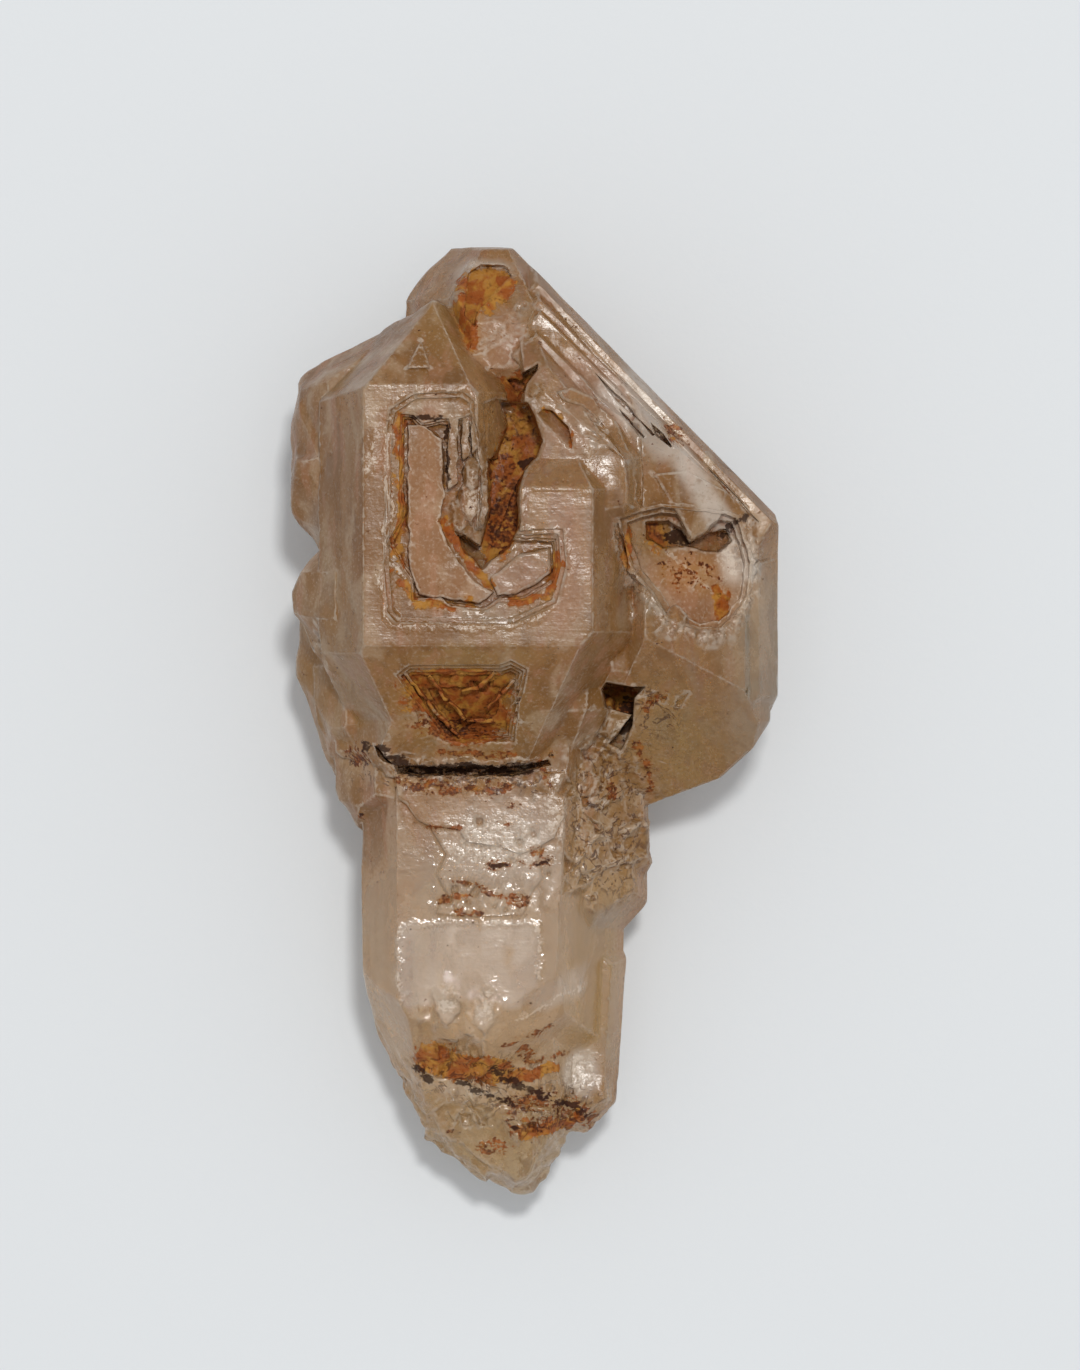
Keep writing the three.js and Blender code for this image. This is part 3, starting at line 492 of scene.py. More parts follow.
OLIVE = Region(
    "olive",
    (
        Patch((4.8, -6.4, 12.6), (3.2, 5.6, 4.0), 0.5),
        Patch((-3.6, 4.2, 20.8), (4.6, 0.7, 1.6), 0.5),
        Patch((-4.6, -21.6, 12.6), (3.4, 1.5, 3.0), 0.4),
        Patch((-6.3, -19.0, 13.6), (1.2, 0.8, 2.0), 0.5),
        Patch((1.4, -24.6, 9.6), (3.4, 1.4, 3.0), 0.5),
        Patch((-3.0, -26.0, 9.0), (6.4, 4.2, 6.0), 0.5),
        Patch((3.4, -16.6, 11.0), (1.8, 5.4, 4.0), 0.5),
        Patch((-4.4, 0.8, 18.0), (5.0, 3.4, 3.0), 0.5),
        Patch((-9.6, -3.0, 12.6), (2.2, 1.6, 3.0), 0.5),
        Patch((7.4, -1.0, 13.0), (4.6, 5.0, 5.0), 0.6),
        Patch((-12.6, 4.0, 11.0), (3.6, 10.0, 8.0), 0.6),
        Patch((7.6, 11.4, 15.6), (1.6, 1.4, 2.0), 0.4),
        Patch((5.4, 2.2, 12.6), (1.6, 1.4, 5.0), 0.4),
        Patch((-5.4, 24.0, 18.0), (2.4, 3.0, 3.0), 0.5),
    ),
    0.6,
)
# Frosted, whitish crystal, and thin painted highlights along some edges.
PALE = Region(
    "pale",
    (
        Patch((-10.2, 16.3, 22.0), (0.7, 0.9, 0.6), 0.5),
        Patch((-9.8, 17.6, 22.0), (0.4, 0.6, 0.6), 0.5),
        Patch((12.4, 10.4, 15.6), (1.1, 1.6, 1.2)),
        Trace(((8.9, 12.7), (8.9, 11.8)), 0.16, 14.0, 17.0),
        Patch((1.5, -5.6, 15.7), (1.1, 1.8, 0.8), 0.5),
        Patch((-2.4, -7.8, 15.7), (4.0, 2.2, 0.8), 0.6),
        # These three thin lines round the stem's front plate are painted highlights along its edges.
        Trace(((-8.5, -12.9), (-8.5, -17.6)), 0.22, 14.6, 16.4, 0.2),
        Trace(((0.45, -12.6), (0.45, -16.2)), 0.22, 14.6, 16.4, 0.2),
        Trace(((-8.3, -12.7), (0.2, -12.6)), 0.16, 14.6, 16.4, 0.3),
        Patch((-5.4, -17.4, 15.9), (1.0, 1.3, 0.7), 0.5),
        Patch((-3.0, -17.5, 15.7), (0.8, 1.5, 0.7), 0.5),
        Trace(((-1.2, -18.7), (3.2, -16.5)), 0.24, 12.0, 16.0),
        Patch((2.9, -22.2, 10.4), (1.3, 1.5, 1.6), 0.4),
        Patch((-3.4, 28.7, 15.4), (1.6, 0.35, 2.0)),
        Trace(((-7.6, -2.4), (-4.0, -2.3), (0.4, -2.2)), 0.13, 14.0, 18.0),
        Trace(
            ((5.6, 10.2), (6.5, 8.6), (7.5, 7.4), (8.4, 6.0), (10.4, 5.5), (11.9, 5.6)),
            0.3, 15.0, 20.0, 0.8,
        ),
        Trace(
            ((11.9, 5.6), (13.2, 7.0), (13.8, 8.6), (13.9, 10.6), (13.2, 12.6)),
            0.3, 15.0, 20.0, 0.8,
        ),
        Trace(((4.4, -1.5), (5.9, 0.4)), 0.24, 11.0, 16.0),
        Patch((-3.9, 14.4, 20.6), (0.8, 2.0, 1.0), 0.5),
        # The thin lines round the flat face's frame and its hollow are painted highlights along their convex
        # edges.
        Trace(
            ((-9.1, 18.6), (-9.1, 15.3), (-8.9, 12.9), (-9.5, 11.6), (-9.1, 10.1), (-8.0, 9.0)),
            0.15, 20.9, 22.6,
        ),
        Trace(
            ((-9.4, 9.3), (-9.35, 6.6), (-8.9, 6.1), (-4.7, 5.9), (-1.6, 6.0), (0.6, 6.7)),
            0.15, 20.9, 22.6,
        ),
        Trace(((0.6, 6.7), (1.9, 7.9), (2.3, 9.6), (2.0, 11.8), (-0.6, 12.0)), 0.13, 20.9, 22.6),
        Trace(
            ((-9.1, 19.0), (-8.2, 20.3), (-6.6, 20.7), (-4.0, 20.7), (-3.5, 19.8)),
            0.14, 20.9, 22.6,
        ),
        Trace(((-0.7, 12.1), (-0.65, 14.6), (3.5, 14.6)), 0.12, 21.4, 22.6),
        Patch((3.6, 16.4, 20.2), (0.35, 1.6, 1.2), 0.5),
    ),
    0.3,
)
CLEAR = Region(
    "clear",
    (
        Patch((-3.2, -15.4, 10.0), (9.2, 9.4, 9.0), 0.25),
        Patch((-2.0, -27.0, 8.0), (6.0, 4.6, 6.0), 0.4),
        Patch((14.0, 4.6, 14.0), (2.6, 5.4, 4.0), 0.5),
    ),
    0.6,
)
GLASSY = Region(
    "glassy",
    (
        Patch((-5.5, -17.7, 15.2), (1.5, 1.8, 1.4), 0.3),
        Patch((-3.1, -18.0, 15.2), (1.3, 2.0, 1.4), 0.3),
        Patch((-3.9, 14.4, 20.4), (0.9, 2.4, 1.2), 0.4),
        Patch((-2.4, -28.2, 8.0), (2.4, 1.8, 3.4), 0.5),
    ),
    0.3,
)
CURLED = Region(
    "curled",
    (
        Patch((4.6, -6.6, 12.4), (3.0, 5.2, 5.0), 0.4),
        Patch((-3.8, -21.8, 12.4), (4.4, 1.9, 4.0), 0.4),
        Patch((0.6, -24.4, 10.6), (4.0, 2.0, 4.0), 0.4),
        Patch((7.6, 0.8, 15.0), (1.6, 1.8, 3.0), 0.4),
        Patch((-10.2, -2.6, 12.6), (1.8, 1.6, 3.0), 0.4),
        Trace(((-8.6, -3.6), (0.6, -3.9)), 0.7, 12.0, 17.0),
    ),
    0.4,
)
# Painted highlight: smooth faces, the stem's front plate and some small grains are made paler where they
# reflect the light.
PAINTED_SHEEN = Region(
    "painted_sheen",
    (
        Trace(
            ((-7.7, -13.3), (-7.7, -17.0), (-6.0, -16.8), (-6.0, -13.3), (-4.3, -13.3)),
            0.9, 15.0, 16.4, 0.2,
        ),
        Trace(
            ((-4.3, -13.3), (-4.3, -16.6), (-2.6, -16.6), (-2.6, -13.3), (-0.5, -13.3)),
            0.9, 15.0, 16.4, 0.2,
        ),
        Trace(((-0.5, -13.3), (-0.5, -15.8), (-1.4, -17.2)), 0.9, 15.0, 16.4, 0.2),
        Patch((-1.6, -8.6, 16.0), (4.4, 3.6, 0.8), 0.5),
        Patch((2.9, -22.2, 10.4), (1.3, 1.6, 1.6), 0.3),
        Patch((-3.4, 28.4, 15.6), (2.0, 0.7, 2.4), 0.5),
        Trace(((6.2, 21.6), (13.6, 9.6)), 0.75, 15.0, 20.0, 0.5),
        Trace(((4.6, 20.8), (8.0, 17.0)), 0.6, 15.0, 20.0, 0.7),
        Patch((-5.5, -17.9, 15.9), (0.7, 0.9, 0.7), 0.5),
        Patch((-3.1, -18.2, 15.8), (0.6, 0.9, 0.7), 0.5),
        Patch((12.8, 10.2, 15.8), (1.1, 1.6, 1.2), 0.4),
        Trace(((0.6, -17.3), (3.1, -16.2)), 0.8, 12.0, 16.0, 0.4),
        Trace(((0.6, -17.3), (3.1, -16.2)), 0.8, 12.0, 16.0, 0.4),
    ),
    0.12,
)
# Darker, dusky crystal. Its patches on the left flank and the left collar, which face away from the light,
# are also painted shade.
DUSK_AND_SHADE = Region(
    "dusk_and_shade",
    (
        Patch((-13.0, 11.0, 12.0), (3.4, 14.0, 9.0), 0.5),
        Patch((-10.0, -3.0, 11.0), (4.0, 5.0, 7.0), 0.5),
        Patch((3.6, 1.6, 15.0), (3.4, 6.4, 8.0), 0.5),
        Patch((9.4, 14.6, 17.0), (3.6, 3.0, 3.0), 0.5),
        Patch((-7.0, 23.4, 18.0), (4.4, 3.0, 5.0), 0.5),
        Patch((-3.0, 1.4, 18.0), (9.0, 4.4, 6.0), 0.6),
        Patch((-7.6, 12.5, 21.6), (4.6, 10.0, 2.6), 0.3),
        Patch((9.6, 8.6, 16.0), (4.2, 3.4, 2.4), 0.4),
        Patch((4.8, -5.6, 12.6), (3.4, 4.6, 4.0), 0.5),
        Patch((-10.8, -5.2, 9.6), (3.4, 4.6, 8.0), 0.3),
        Patch((-3.4, -22.6, 12.0), (3.6, 1.5, 3.0), 0.5),
        Patch((9.2, 13.6, 17.0), (2.4, 2.4, 2.4), 0.4),
    ),
    0.6,
)
# Where its shape is rougher than the solid's flat faces.
PITTED = Region(
    "pitted",
    (
        Patch((4.6, -5.8, 12.0), (3.8, 5.6, 5.0), 0.4),
        Trace(((-9.4, -2.6), (0.4, -3.6)), 1.1, 12.0, 17.0),
        Patch((-2.4, -10.9, 15.6), (3.6, 1.2, 1.0), 0.5),
    ),
)
BROKEN = Region(
    "broken",
    (
        Patch((-3.4, -25.2, 9.0), (8.6, 5.0, 8.0), 0.3),
        Patch((-4.4, -17.9, 14.8), (2.9, 1.7, 1.4), 0.3),
        Patch((-4.2, -21.6, 13.0), (3.6, 1.2, 3.0), 0.3),
    ),
)
RAISED = Region(
    "raised",
    (
        Trace(
            ((5.1, 12.4), (5.5, 10.2), (6.4, 8.5), (7.4, 7.3), (8.3, 5.9), (10.4, 5.4)),
            0.3, 16.5, 20.0,
        ),
        Trace(
            ((10.4, 5.4), (12.0, 5.5), (13.3, 7.0), (13.9, 8.6), (14.0, 10.6), (13.3, 12.6)),
            0.3, 16.0, 20.0,
        ),
    ),
    0.2,
)
SUNK = Region(
    "sunk",
    (
        Trace(((-3.4, 23.4), (-1.8, 24.6), (-0.7, 26.2)), 0.22, 17.5, 19.6),
        Trace(((-8.3, -3.0), (-6.3, -3.1), (-4.0, -3.0), (-0.6, -3.0)), 0.3, 15.0, 17.0),
        Trace(((-4.8, -22.7), (-3.4, -23.5), (-1.4, -24.2), (1.6, -24.6)), 0.3, 8.0, 14.0),
    ),
    0.25,
)
WAVY = Region(
    "wavy",
    (
        Patch((-13.2, 16.6, 12.0), (3.0, 7.0, 7.0), 0.4),
        Patch((-13.0, 6.0, 12.0), (3.2, 5.0, 8.0), 0.4),
        Patch((-10.6, -3.0, 11.0), (3.4, 4.0, 7.0), 0.4),
        Patch((4.6, 17.4, 18.6), (3.6, 4.4, 3.0), 0.4),
        Patch((5.2, 8.2, 18.4), (1.8, 4.4, 4.0), 0.4),
        Patch((2.6, 0.2, 16.0), (2.6, 3.6, 4.0), 0.4),
        Patch((-7.0, 26.6, 13.0), (3.0, 3.0, 6.0), 0.4),
        Patch((-2.2, 24.4, 18.4), (2.6, 2.6, 1.6), 0.4),
    ),
)
HOLLOWS = Region(
    "hollows",
    (
        Patch((-4.2, 13.0, 20.6), (5.4, 7.4, 1.9), 0.25),
        Patch((-1.8, 15.2, 17.2), (2.4, 5.2, 3.0), 0.25),
        Patch((-4.6, 1.2, 18.0), (4.6, 3.2, 2.8), 0.25),
        Patch((9.8, 9.6, 16.0), (4.6, 5.2, 2.6), 0.25),
        Patch((-2.8, 26.6, 16.4), (2.4, 3.0, 3.0), 0.3),
        Patch((-0.6, 20.9, 17.4), (1.9, 1.5, 2.4), 0.3),
    ),
)
# Where small marks need a fine mesh to hold them.
MARKED = Region(
    "marked",
    (
        Trace(((-8.5, -12.8), (-8.5, -17.6)), 0.3, 14.6, 16.4, 0.3),
        Trace(((0.45, -12.6), (0.45, -16.4)), 0.3, 14.6, 16.4, 0.3),
        Trace(((-8.5, -12.7), (0.45, -12.6)), 0.3, 14.6, 16.4, 0.3),
        Patch((-0.6, -20.8, 13.0), (0.7, 0.7, 2.0), 0.3),
        Trace(((-8.4, -3.0), (-0.4, -3.0)), 0.9, 12.5, 17.0, 0.3),
        Trace(((-3.0, -8.9), (0.8, -8.6)), 0.7, 14.0, 17.0, 0.3),
        Trace(((-5.4, -11.1), (-0.4, -11.2)), 1.2, 14.0, 17.0, 0.3),
        Trace(((-7.0, -6.7), (-4.6, -6.7)), 0.4, 14.0, 17.0, 0.3),
    ),
)
COLOURED = (RUST, SPOTS, SOOT, PINK, OLIVE, PALE, CURLED, PAINTED_SHEEN, CLEAR, GLASSY, DUSK_AND_SHADE)
DETAILED = (HOLLOWS, PITTED, BROKEN, RAISED, SUNK, MARKED)


@dataclass(frozen=True)
class QuartzFinish:
    """Smoky, part-clear quartz with iron stain in its hollows.

    The colours come first, then the noises that break them up, then where each kind of mark starts and where
    it is full, and then what the crystal does to light.
    """

    smoky: Triple = (0.46, 0.242, 0.090)
    dusky: Triple = (0.22, 0.098, 0.026)
    rosy: Triple = (0.40, 0.185, 0.095)
    pink: Triple = (0.34, 0.180, 0.108)
    olive: Triple = (0.47, 0.290, 0.098)
    pale: Triple = (0.80, 0.71, 0.60)
    milk: Triple = (0.66, 0.50, 0.33)
    # The colour of the painted highlight on smooth faces.
    painted_sheen: Triple = (0.82, 0.74, 0.65)
    rust: Triple = (0.30, 0.074, 0.010)
    ochre: Triple = (0.42, 0.190, 0.030)
    deep_rust: Triple = (0.060, 0.014, 0.005)
    soot: Triple = (0.026, 0.009, 0.005)

    veils: Cloud = Cloud(3.4, 5.0, (1.0, 0.6, 1.0), bend=1.1)
    streaks: Cloud = Cloud(1.0, 4.0, (1.0, 0.22, 1.0), 41.0)
    grain: Cloud = Cloud(0.5, 4.0, shift=23.0)
    fine: Cloud = Cloud(0.2, 3.0, shift=71.0)
    flecks: Cloud = Cloud(0.5, 4.0, (0.7, 1.4, 1.0), 37.0)
    curls: Cloud = Cloud(1.3, 2.5, shift=13.0, bend=1.6)
    growth_lines: Cloud = Cloud(0.6, 3.0, (0.35, 2.4, 0.35), 5.0)
    ochre_patches: Cloud = Cloud(1.0, 4.0, shift=51.0, bend=0.6)
    dark_patches: Cloud = Cloud(0.55, 4.0, shift=67.0)

    # Where the painted highlight along sharp edges starts and where it is full.
    edge_highlight_from: Pair = (0.12, 0.5)
    # Where frosting and the thin painted edge highlights start and where they are full.
    frost_and_edge_highlight_from: Pair = (0.5, 1.0)
    filled_from: Pair = (0.36, 0.74)
    spotted_from: Pair = (0.46, 0.72)
    seams_from: Pair = (0.45, 0.75)
    curls_from: Pair = (0.0014, 0.0002)
    soot_from: Pair = (0.5, 0.8)
    dark_from: Pair = (0.6, 0.92)

    ior: float = 1.544
    glass_tint: Triple = (0.97, 0.90, 0.77)
    absorbed: Triple = (0.85, 0.60, 0.18)
    density: float = 100.0
    stone_shine: float = 0.17
    relief: float = 0.35
    relief_height: float = 0.14 * MM

    def material(self) -> bpy.types.Material:
        """Makes the material.

        Returns:
            A blend of see-through crystal and of its milky and stained places, whose colour also holds
            painted highlights and, on the left flank, painted shade.
        """
        tree = Tree("smoky_quartz")
        crevice = tree.stored("hollow")
        clear = tree.stored(CLEAR.name)
        glassy = tree.stored(GLASSY.name)
        pale = tree.stored(PALE.name)
        pink = tree.stored(PINK.name)
        dusk_and_shade = tree.stored(DUSK_AND_SHADE.name)
        veils, grain, fine = tree.cloud(self.veils), tree.cloud(self.grain), tree.cloud(self.fine)
        flecks = tree.cloud(self.flecks)

        # Frosted places, and along the thin pale lines a painted edge highlight.
        frost_and_edge_highlight = (pale * 0.75 + (grain - 0.5) * 1.8 + (fine - 0.5) * 2.0).step(*self.frost_and_edge_highlight_from)
        frost_and_edge_highlight = frost_and_edge_highlight * (0.3 + pale * 0.7)
        body = self.body(tree, veils, clear)
        body = self.weathered_and_highlit(tree, body, grain, fine, frost_and_edge_highlight)

        rust_there = tree.stored(RUST.name)
        spots_there = tree.stored(SPOTS.name)
        filled = (rust_there + (grain - 0.5) * 1.3 + (fine - 0.5) * 1.1).step(*self.filled_from)
        spotted = (spots_there * 0.7 + (flecks - 0.5) * 2.0 + (fine - 0.5) * 1.4).step(*self.spotted_from)
        seams = crevice.step(*self.seams_from) * flecks.step(0.44, 0.6) * (1 - clear) * 0.55
        rust = (filled | spotted * 0.95 | seams).kept()
        tinged = tree.mix(body, self.ochre, (rust_there | spots_there) * (0.2 + grain * 0.5))
        colour = tree.mix(tinged, self.iron(tree, crevice, spotted, fine), rust * (0.7 + fine * 0.5))

        curls = tree.cloud(self.curls) - 0.5
        curls = (curls * curls).step(*self.curls_from) * flecks.step(0.4, 0.5) * tree.stored(CURLED.name)
        colour = tree.mix(colour, self.deep_rust, curls * 0.75)
        soot = tree.stored(SOOT.name) * 0.9 + (flecks - 0.5) * 2.2 + (fine - 0.5) * 1.2
        soot = soot.step(*self.soot_from)
        colour = tree.mix(colour, self.soot, soot * 0.9)
        stained = (rust * 0.95 | soot | curls * 0.6).kept()

        cloudy = 0.46 - clear * 0.14 + glassy * 0.05 + dusk_and_shade * 0.26
        cloudy += veils.step(0.4, 0.65) * 0.14 + frost_and_edge_highlight * 0.2 + pink * 0.24
        opaque = (cloudy.kept() | stained).kept()
        height = tree.cloud(self.growth_lines) * 0.25 + grain * (0.35 + pale * 1.2 + glassy * 1.2)
        height = height + fine * 0.2 + stained * grain * 0.8
        bump = tree.bump(height, self.relief, self.relief_height)
        dull = 0.32 + grain.step(0.4, 0.7) * 0.12 + stained * 0.45 - pale * 0.1 + pink * 0.2 - clear * 0.06
        clouded = 0.2 - clear * 0.14 - glassy * 0.1 + veils.step(0.4, 0.7) * 0.12

        glass = tree.add(
            "ShaderNodeBsdfPrincipled",
            {},
            Base_Color=self.glass_tint,
            Roughness=clouded.kept(),
            IOR=self.ior,
            Transmission_Weight=1.0,
            Normal=bump,
        )
        stone = tree.add(
            "ShaderNodeBsdfPrincipled",
            {},
            Base_Color=colour,
            Roughness=dull.kept(),
            IOR=self.ior,
            Specular_IOR_Level=self.stone_shine,
            Normal=bump,
        )
        blend = tree.add("ShaderNodeMixShader", {}, opaque, glass.outputs[0], stone.outputs[0])
        inside = tree.add("ShaderNodeVolumeAbsorption", {}, self.absorbed, self.density)
        tree.add("ShaderNodeOutputMaterial", {}, blend.outputs[0], inside.outputs[0])
        return tree.material

    def body(self, tree: Tree, veils: Term, clear: Term) -> bpy.types.NodeSocket:
        """The crystal's own colour, with painted shade on its left flank, before its surface and its stains.

        Args:
            tree: The material.
            veils: Large curling veils.
            clear: Where the crystal is clear and pale.

        Returns:
            The colour.
        """
        streaks = tree.cloud(self.streaks)
        dusk_and_shade = tree.stored(DUSK_AND_SHADE.name)
        # Dusky places are darker; on the left flank and collar this is painted shade.
        dim = dusk_and_shade * 0.85 + veils.step(0.5, 0.64) * 0.6 + streaks.step(0.5, 0.7) * 0.3
        colour = tree.mix(self.smoky, self.dusky, (dim - clear * 0.3).kept())
        colour = tree.mix(colour, self.rosy, streaks.step(0.48, 0.36) * 0.5)
        colour = tree.mix(colour, self.milk, (clear * 0.8 + veils.step(0.48, 0.36) * 0.34).kept())
        olive = tree.stored(OLIVE.name) * (0.2 + streaks * 0.9) * (1 - dusk_and_shade * 0.7)
        return tree.mix(colour, self.olive, olive)

    def weathered_and_highlit(
        self, tree: Tree, body: bpy.types.NodeSocket, grain: Term, fine: Term, frost_and_edge_highlight: Term
    ) -> bpy.types.NodeSocket:
        """The colour with its pink films, a painted highlight on smooth faces, specks, frosting, and painted
        highlights along sharp edges.

        Args:
            tree: The material.
            body: The crystal's own colour.
            grain: A coarse grain.
            fine: A fine grain.
            frost_and_edge_highlight: Where the surface is frosted, and where thin painted highlights run
                along edges.

        Returns:
            The colour.
        """
        clear = tree.stored(CLEAR.name)
        film = tree.stored(PINK.name) * (0.5 + grain * 0.5) * (1 - tree.stored(DUSK_AND_SHADE.name) * 0.45)
        colour = tree.mix(body, self.pink, film)
        # Painted highlight: paler where smooth faces reflect the light.
        colour = tree.mix(colour, self.painted_sheen, tree.stored(PAINTED_SHEEN.name) * (0.35 + fine * 0.5))
        specks = (grain.step(0.52, 0.72) | fine.step(0.5, 0.8)) * (0.4 - clear * 0.22)
        colour = tree.mix(colour, self.dusky, specks)
        colour = tree.mix(colour, self.pale, fine.step(0.5, 0.22) * 0.2)
        # Sharp edges are made paler: a painted highlight along the edges.
        edge_highlight = tree.stored("edge").step(*self.edge_highlight_from) * (0.3 + grain.step(0.4, 0.6) * 0.7)
        return tree.mix(colour, self.pale, (frost_and_edge_highlight * 0.5 | edge_highlight * 0.42).kept())

    def iron(self, tree: Tree, crevice: Term, spotted: Term, fine: Term) -> bpy.types.NodeSocket:
        """The iron stain's colour, ochre to nearly black.

        Args:
            tree: The material.
            crevice: How shut in a point is.
            spotted: The small spots, which are darker than the filled hollows.
            fine: A fine grain.

        Returns:
            The colour.
        """
        ochre = (tree.cloud(self.ochre_patches) - spotted * 0.12).step(0.42, 0.62)
        colour = tree.mix(self.rust, self.ochre, ochre)
        dark = tree.cloud(self.dark_patches) * 0.7 + fine * 0.5
        dark = dark + crevice.step(0.62, 0.9) * 0.12 + spotted * 0.14
        return tree.mix(colour, self.deep_rust, dark.step(*self.dark_from))


@dataclass(frozen=True)
class PaperFinish:
    """The plain pale floor."""

    colour: Triple = (0.76, 0.795, 0.825)
    dullness: float = 0.9
    grain: Cloud = Cloud(0.5, 3.0)
    relief: float = 0.12
    relief_height: float = 0.1 * MM

    def material(self) -> bpy.types.Material:
        """Makes the material.

        Returns:
            A matt paper with a faint grain.
        """
        tree = Tree("pale_floor")
        grain = tree.cloud(self.grain)
        bump = tree.bump(grain, self.relief, self.relief_height)
        paper = tree.add(
            "ShaderNodeBsdfPrincipled",
            {},
            Base_Color=self.colour,
            Roughness=self.dullness,
            Normal=bump,
        )
        tree.add("ShaderNodeOutputMaterial", {}, paper.outputs[0])
        return tree.material


class Edge(Enum):
    """How long the mesh's edges may be, in millimetres, by where they are."""

    HIDDEN = 1.6
    ON_FACES = 0.88
    BY_CORNERS = 0.37
    IN_HOLLOWS = 0.32


@dataclass(frozen=True)
class Layer:
    """One layer of uneven growth, as noise.

    Attributes:
        pitch: How many lumps it has a millimetre.
        height: How far it moves the surface, in millimetres.
        shift: Moves it, so that it differs from others of its pitch.
    """

    pitch: float
    height: float
    shift: Triple = (0.0, 0.0, 0.0)

    def at(self, place: Vector) -> float:
        """The layer's height at a place in millimetres."""
        return noise.noise(place * self.pitch + Vector(self.shift)) * self.height


@dataclass
class Specimen:
    """The crystal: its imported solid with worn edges, uneven faces and a record of its own hollows.

    Lengths are in millimetres and angles in degrees. Uneven growth is listed by where it lies, in layers.
    """

    node: str = "quartz_crystal"
    name: str = "quartz_specimen"
    same_point: float = 0.002
    flat_within: float = 0.6
    corner_angle: float = 22.0
    shading_corner: float = 38.0
    wear: float = 0.22
    most_cuts: int = 8
    detailed_from: float = 0.3
    low_down: float = 6.0
    still_below: float = 0.3
    rays: int = 20
    ray_reach: float = 3.2
    ray_start: float = 0.03
    ray_spread: float = 0.92
    golden_turn: float = 2.399963
    everywhere: tuple[Layer, ...] = (Layer(0.55, 0.035), Layer(1.7, 0.012, (9.0, 0.0, 0.0)))
    on_waves: tuple[Layer, ...] = (Layer(0.42, 0.3, (0.0, 0.0, 3.0)), Layer(1.1, 0.09))
    on_pits: tuple[Layer, ...] = (Layer(1.4, 0.16), Layer(3.2, 0.1))
    on_breaks: tuple[Layer, ...] = (Layer(0.8, 0.22, (0.0, 5.0, 0.0)), Layer(2.2, 0.12))
    in_hollows: tuple[Layer, ...] = (Layer(3.2, 0.05),)
    on_ridges: tuple[Layer, ...] = (Layer(3.2, 0.3),)
    ridge: float = 0.06
    in_grooves: tuple[Layer, ...] = (Layer(3.2, 0.2),)
    groove: float = 0.2
    ragged: tuple[Pair, ...] = ((1.15, 0.16), (3.2, 0.08))
    finish: QuartzFinish = field(default_factory=QuartzFinish)

    def build(self, cad: bpy.types.Object) -> bpy.types.Object:
        """Makes the dressed crystal in place of its solid.

        Args:
            cad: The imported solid, which stays as it is.

        Returns:
            The crystal.
        """
        form = bmesh.new()
        form.from_mesh(cad.data)
        bmesh.ops.remove_doubles(form, verts=form.verts, dist=self.same_point * MM)
        level = math.radians(self.flat_within)
        bmesh.ops.dissolve_limit(form, angle_limit=level, verts=form.verts, edges=form.edges)
        bmesh.ops.triangulate(form, faces=form.faces, quad_method="BEAUTY", ngon_method="BEAUTY")
        self.divide(form)
        self.soften(form)
        self.shape(form)
        mesh = bpy.data.meshes.new(self.name)
        self.measure(form, mesh)
        mesh.polygons.foreach_set("use_smooth", [True] * len(mesh.polygons))
        mesh.set_sharp_from_angle(angle=math.radians(self.shading_corner))
        mesh.materials.append(self.finish.material())
        piece = bpy.data.objects.new(self.name, mesh)
        bpy.context.scene.collection.objects.link(piece)
        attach(piece, "root")
        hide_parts(self.node)
        log.info("%s: %d triangles, repaired: %s", self.name, len(mesh.polygons), mesh.validate())
        return piece

    def corner(self, edge: bmesh.types.BMEdge) -> bool:
        """Whether an edge is a real corner of the crystal."""
        return len(edge.link_faces) == 2 and edge.calc_face_angle(0.0) > math.radians(self.corner_angle)

    def divide(self, form: bmesh.types.BMesh) -> None:
        """Cuts long edges until the mesh is fine enough to shape, and finer beside corners and in hollows.

        Args:
            form: The shape, in triangles.
        """
        for _ in range(self.most_cuts):
            near = {v for e in form.edges if self.corner(e) for v in e.verts}
            middles = np.array([(e.verts[0].co + e.verts[1].co) / (2 * MM) for e in form.edges])
            still = Ground(middles, np.zeros_like(middles))
            detailed = np.max([region.weight(still) for region in DETAILED], axis=0)
            long_edges = []
            for e, middle, share in zip(form.edges, middles, detailed):
                limit = Edge.BY_CORNERS if e.verts[0] in near or e.verts[1] in near else Edge.ON_FACES
                if share > self.detailed_from:
                    limit = Edge.IN_HOLLOWS
                elif middle[2] < self.low_down:
                    limit = Edge.HIDDEN if limit is Edge.ON_FACES else Edge.ON_FACES
                if e.calc_length() > limit.value * MM:
                    long_edges.append(e)
            if not long_edges:
                return
            bmesh.ops.subdivide_edges(form, edges=long_edges, cuts=1)
            bmesh.ops.triangulate(form, faces=form.faces, quad_method="SHORT_EDGE", ngon_method="BEAUTY")

    def soften(self, form: bmesh.types.BMesh) -> None:
        """Rounds the corners a little, as on a handled crystal.

        Args:
            form: The shape.
        """
        corners = {v for e in form.edges if self.corner(e) for v in e.verts}
        bmesh.ops.smooth_vert(
            form, verts=list(corners), factor=self.wear, use_axis_x=True, use_axis_y=True, use_axis_z=True
        )

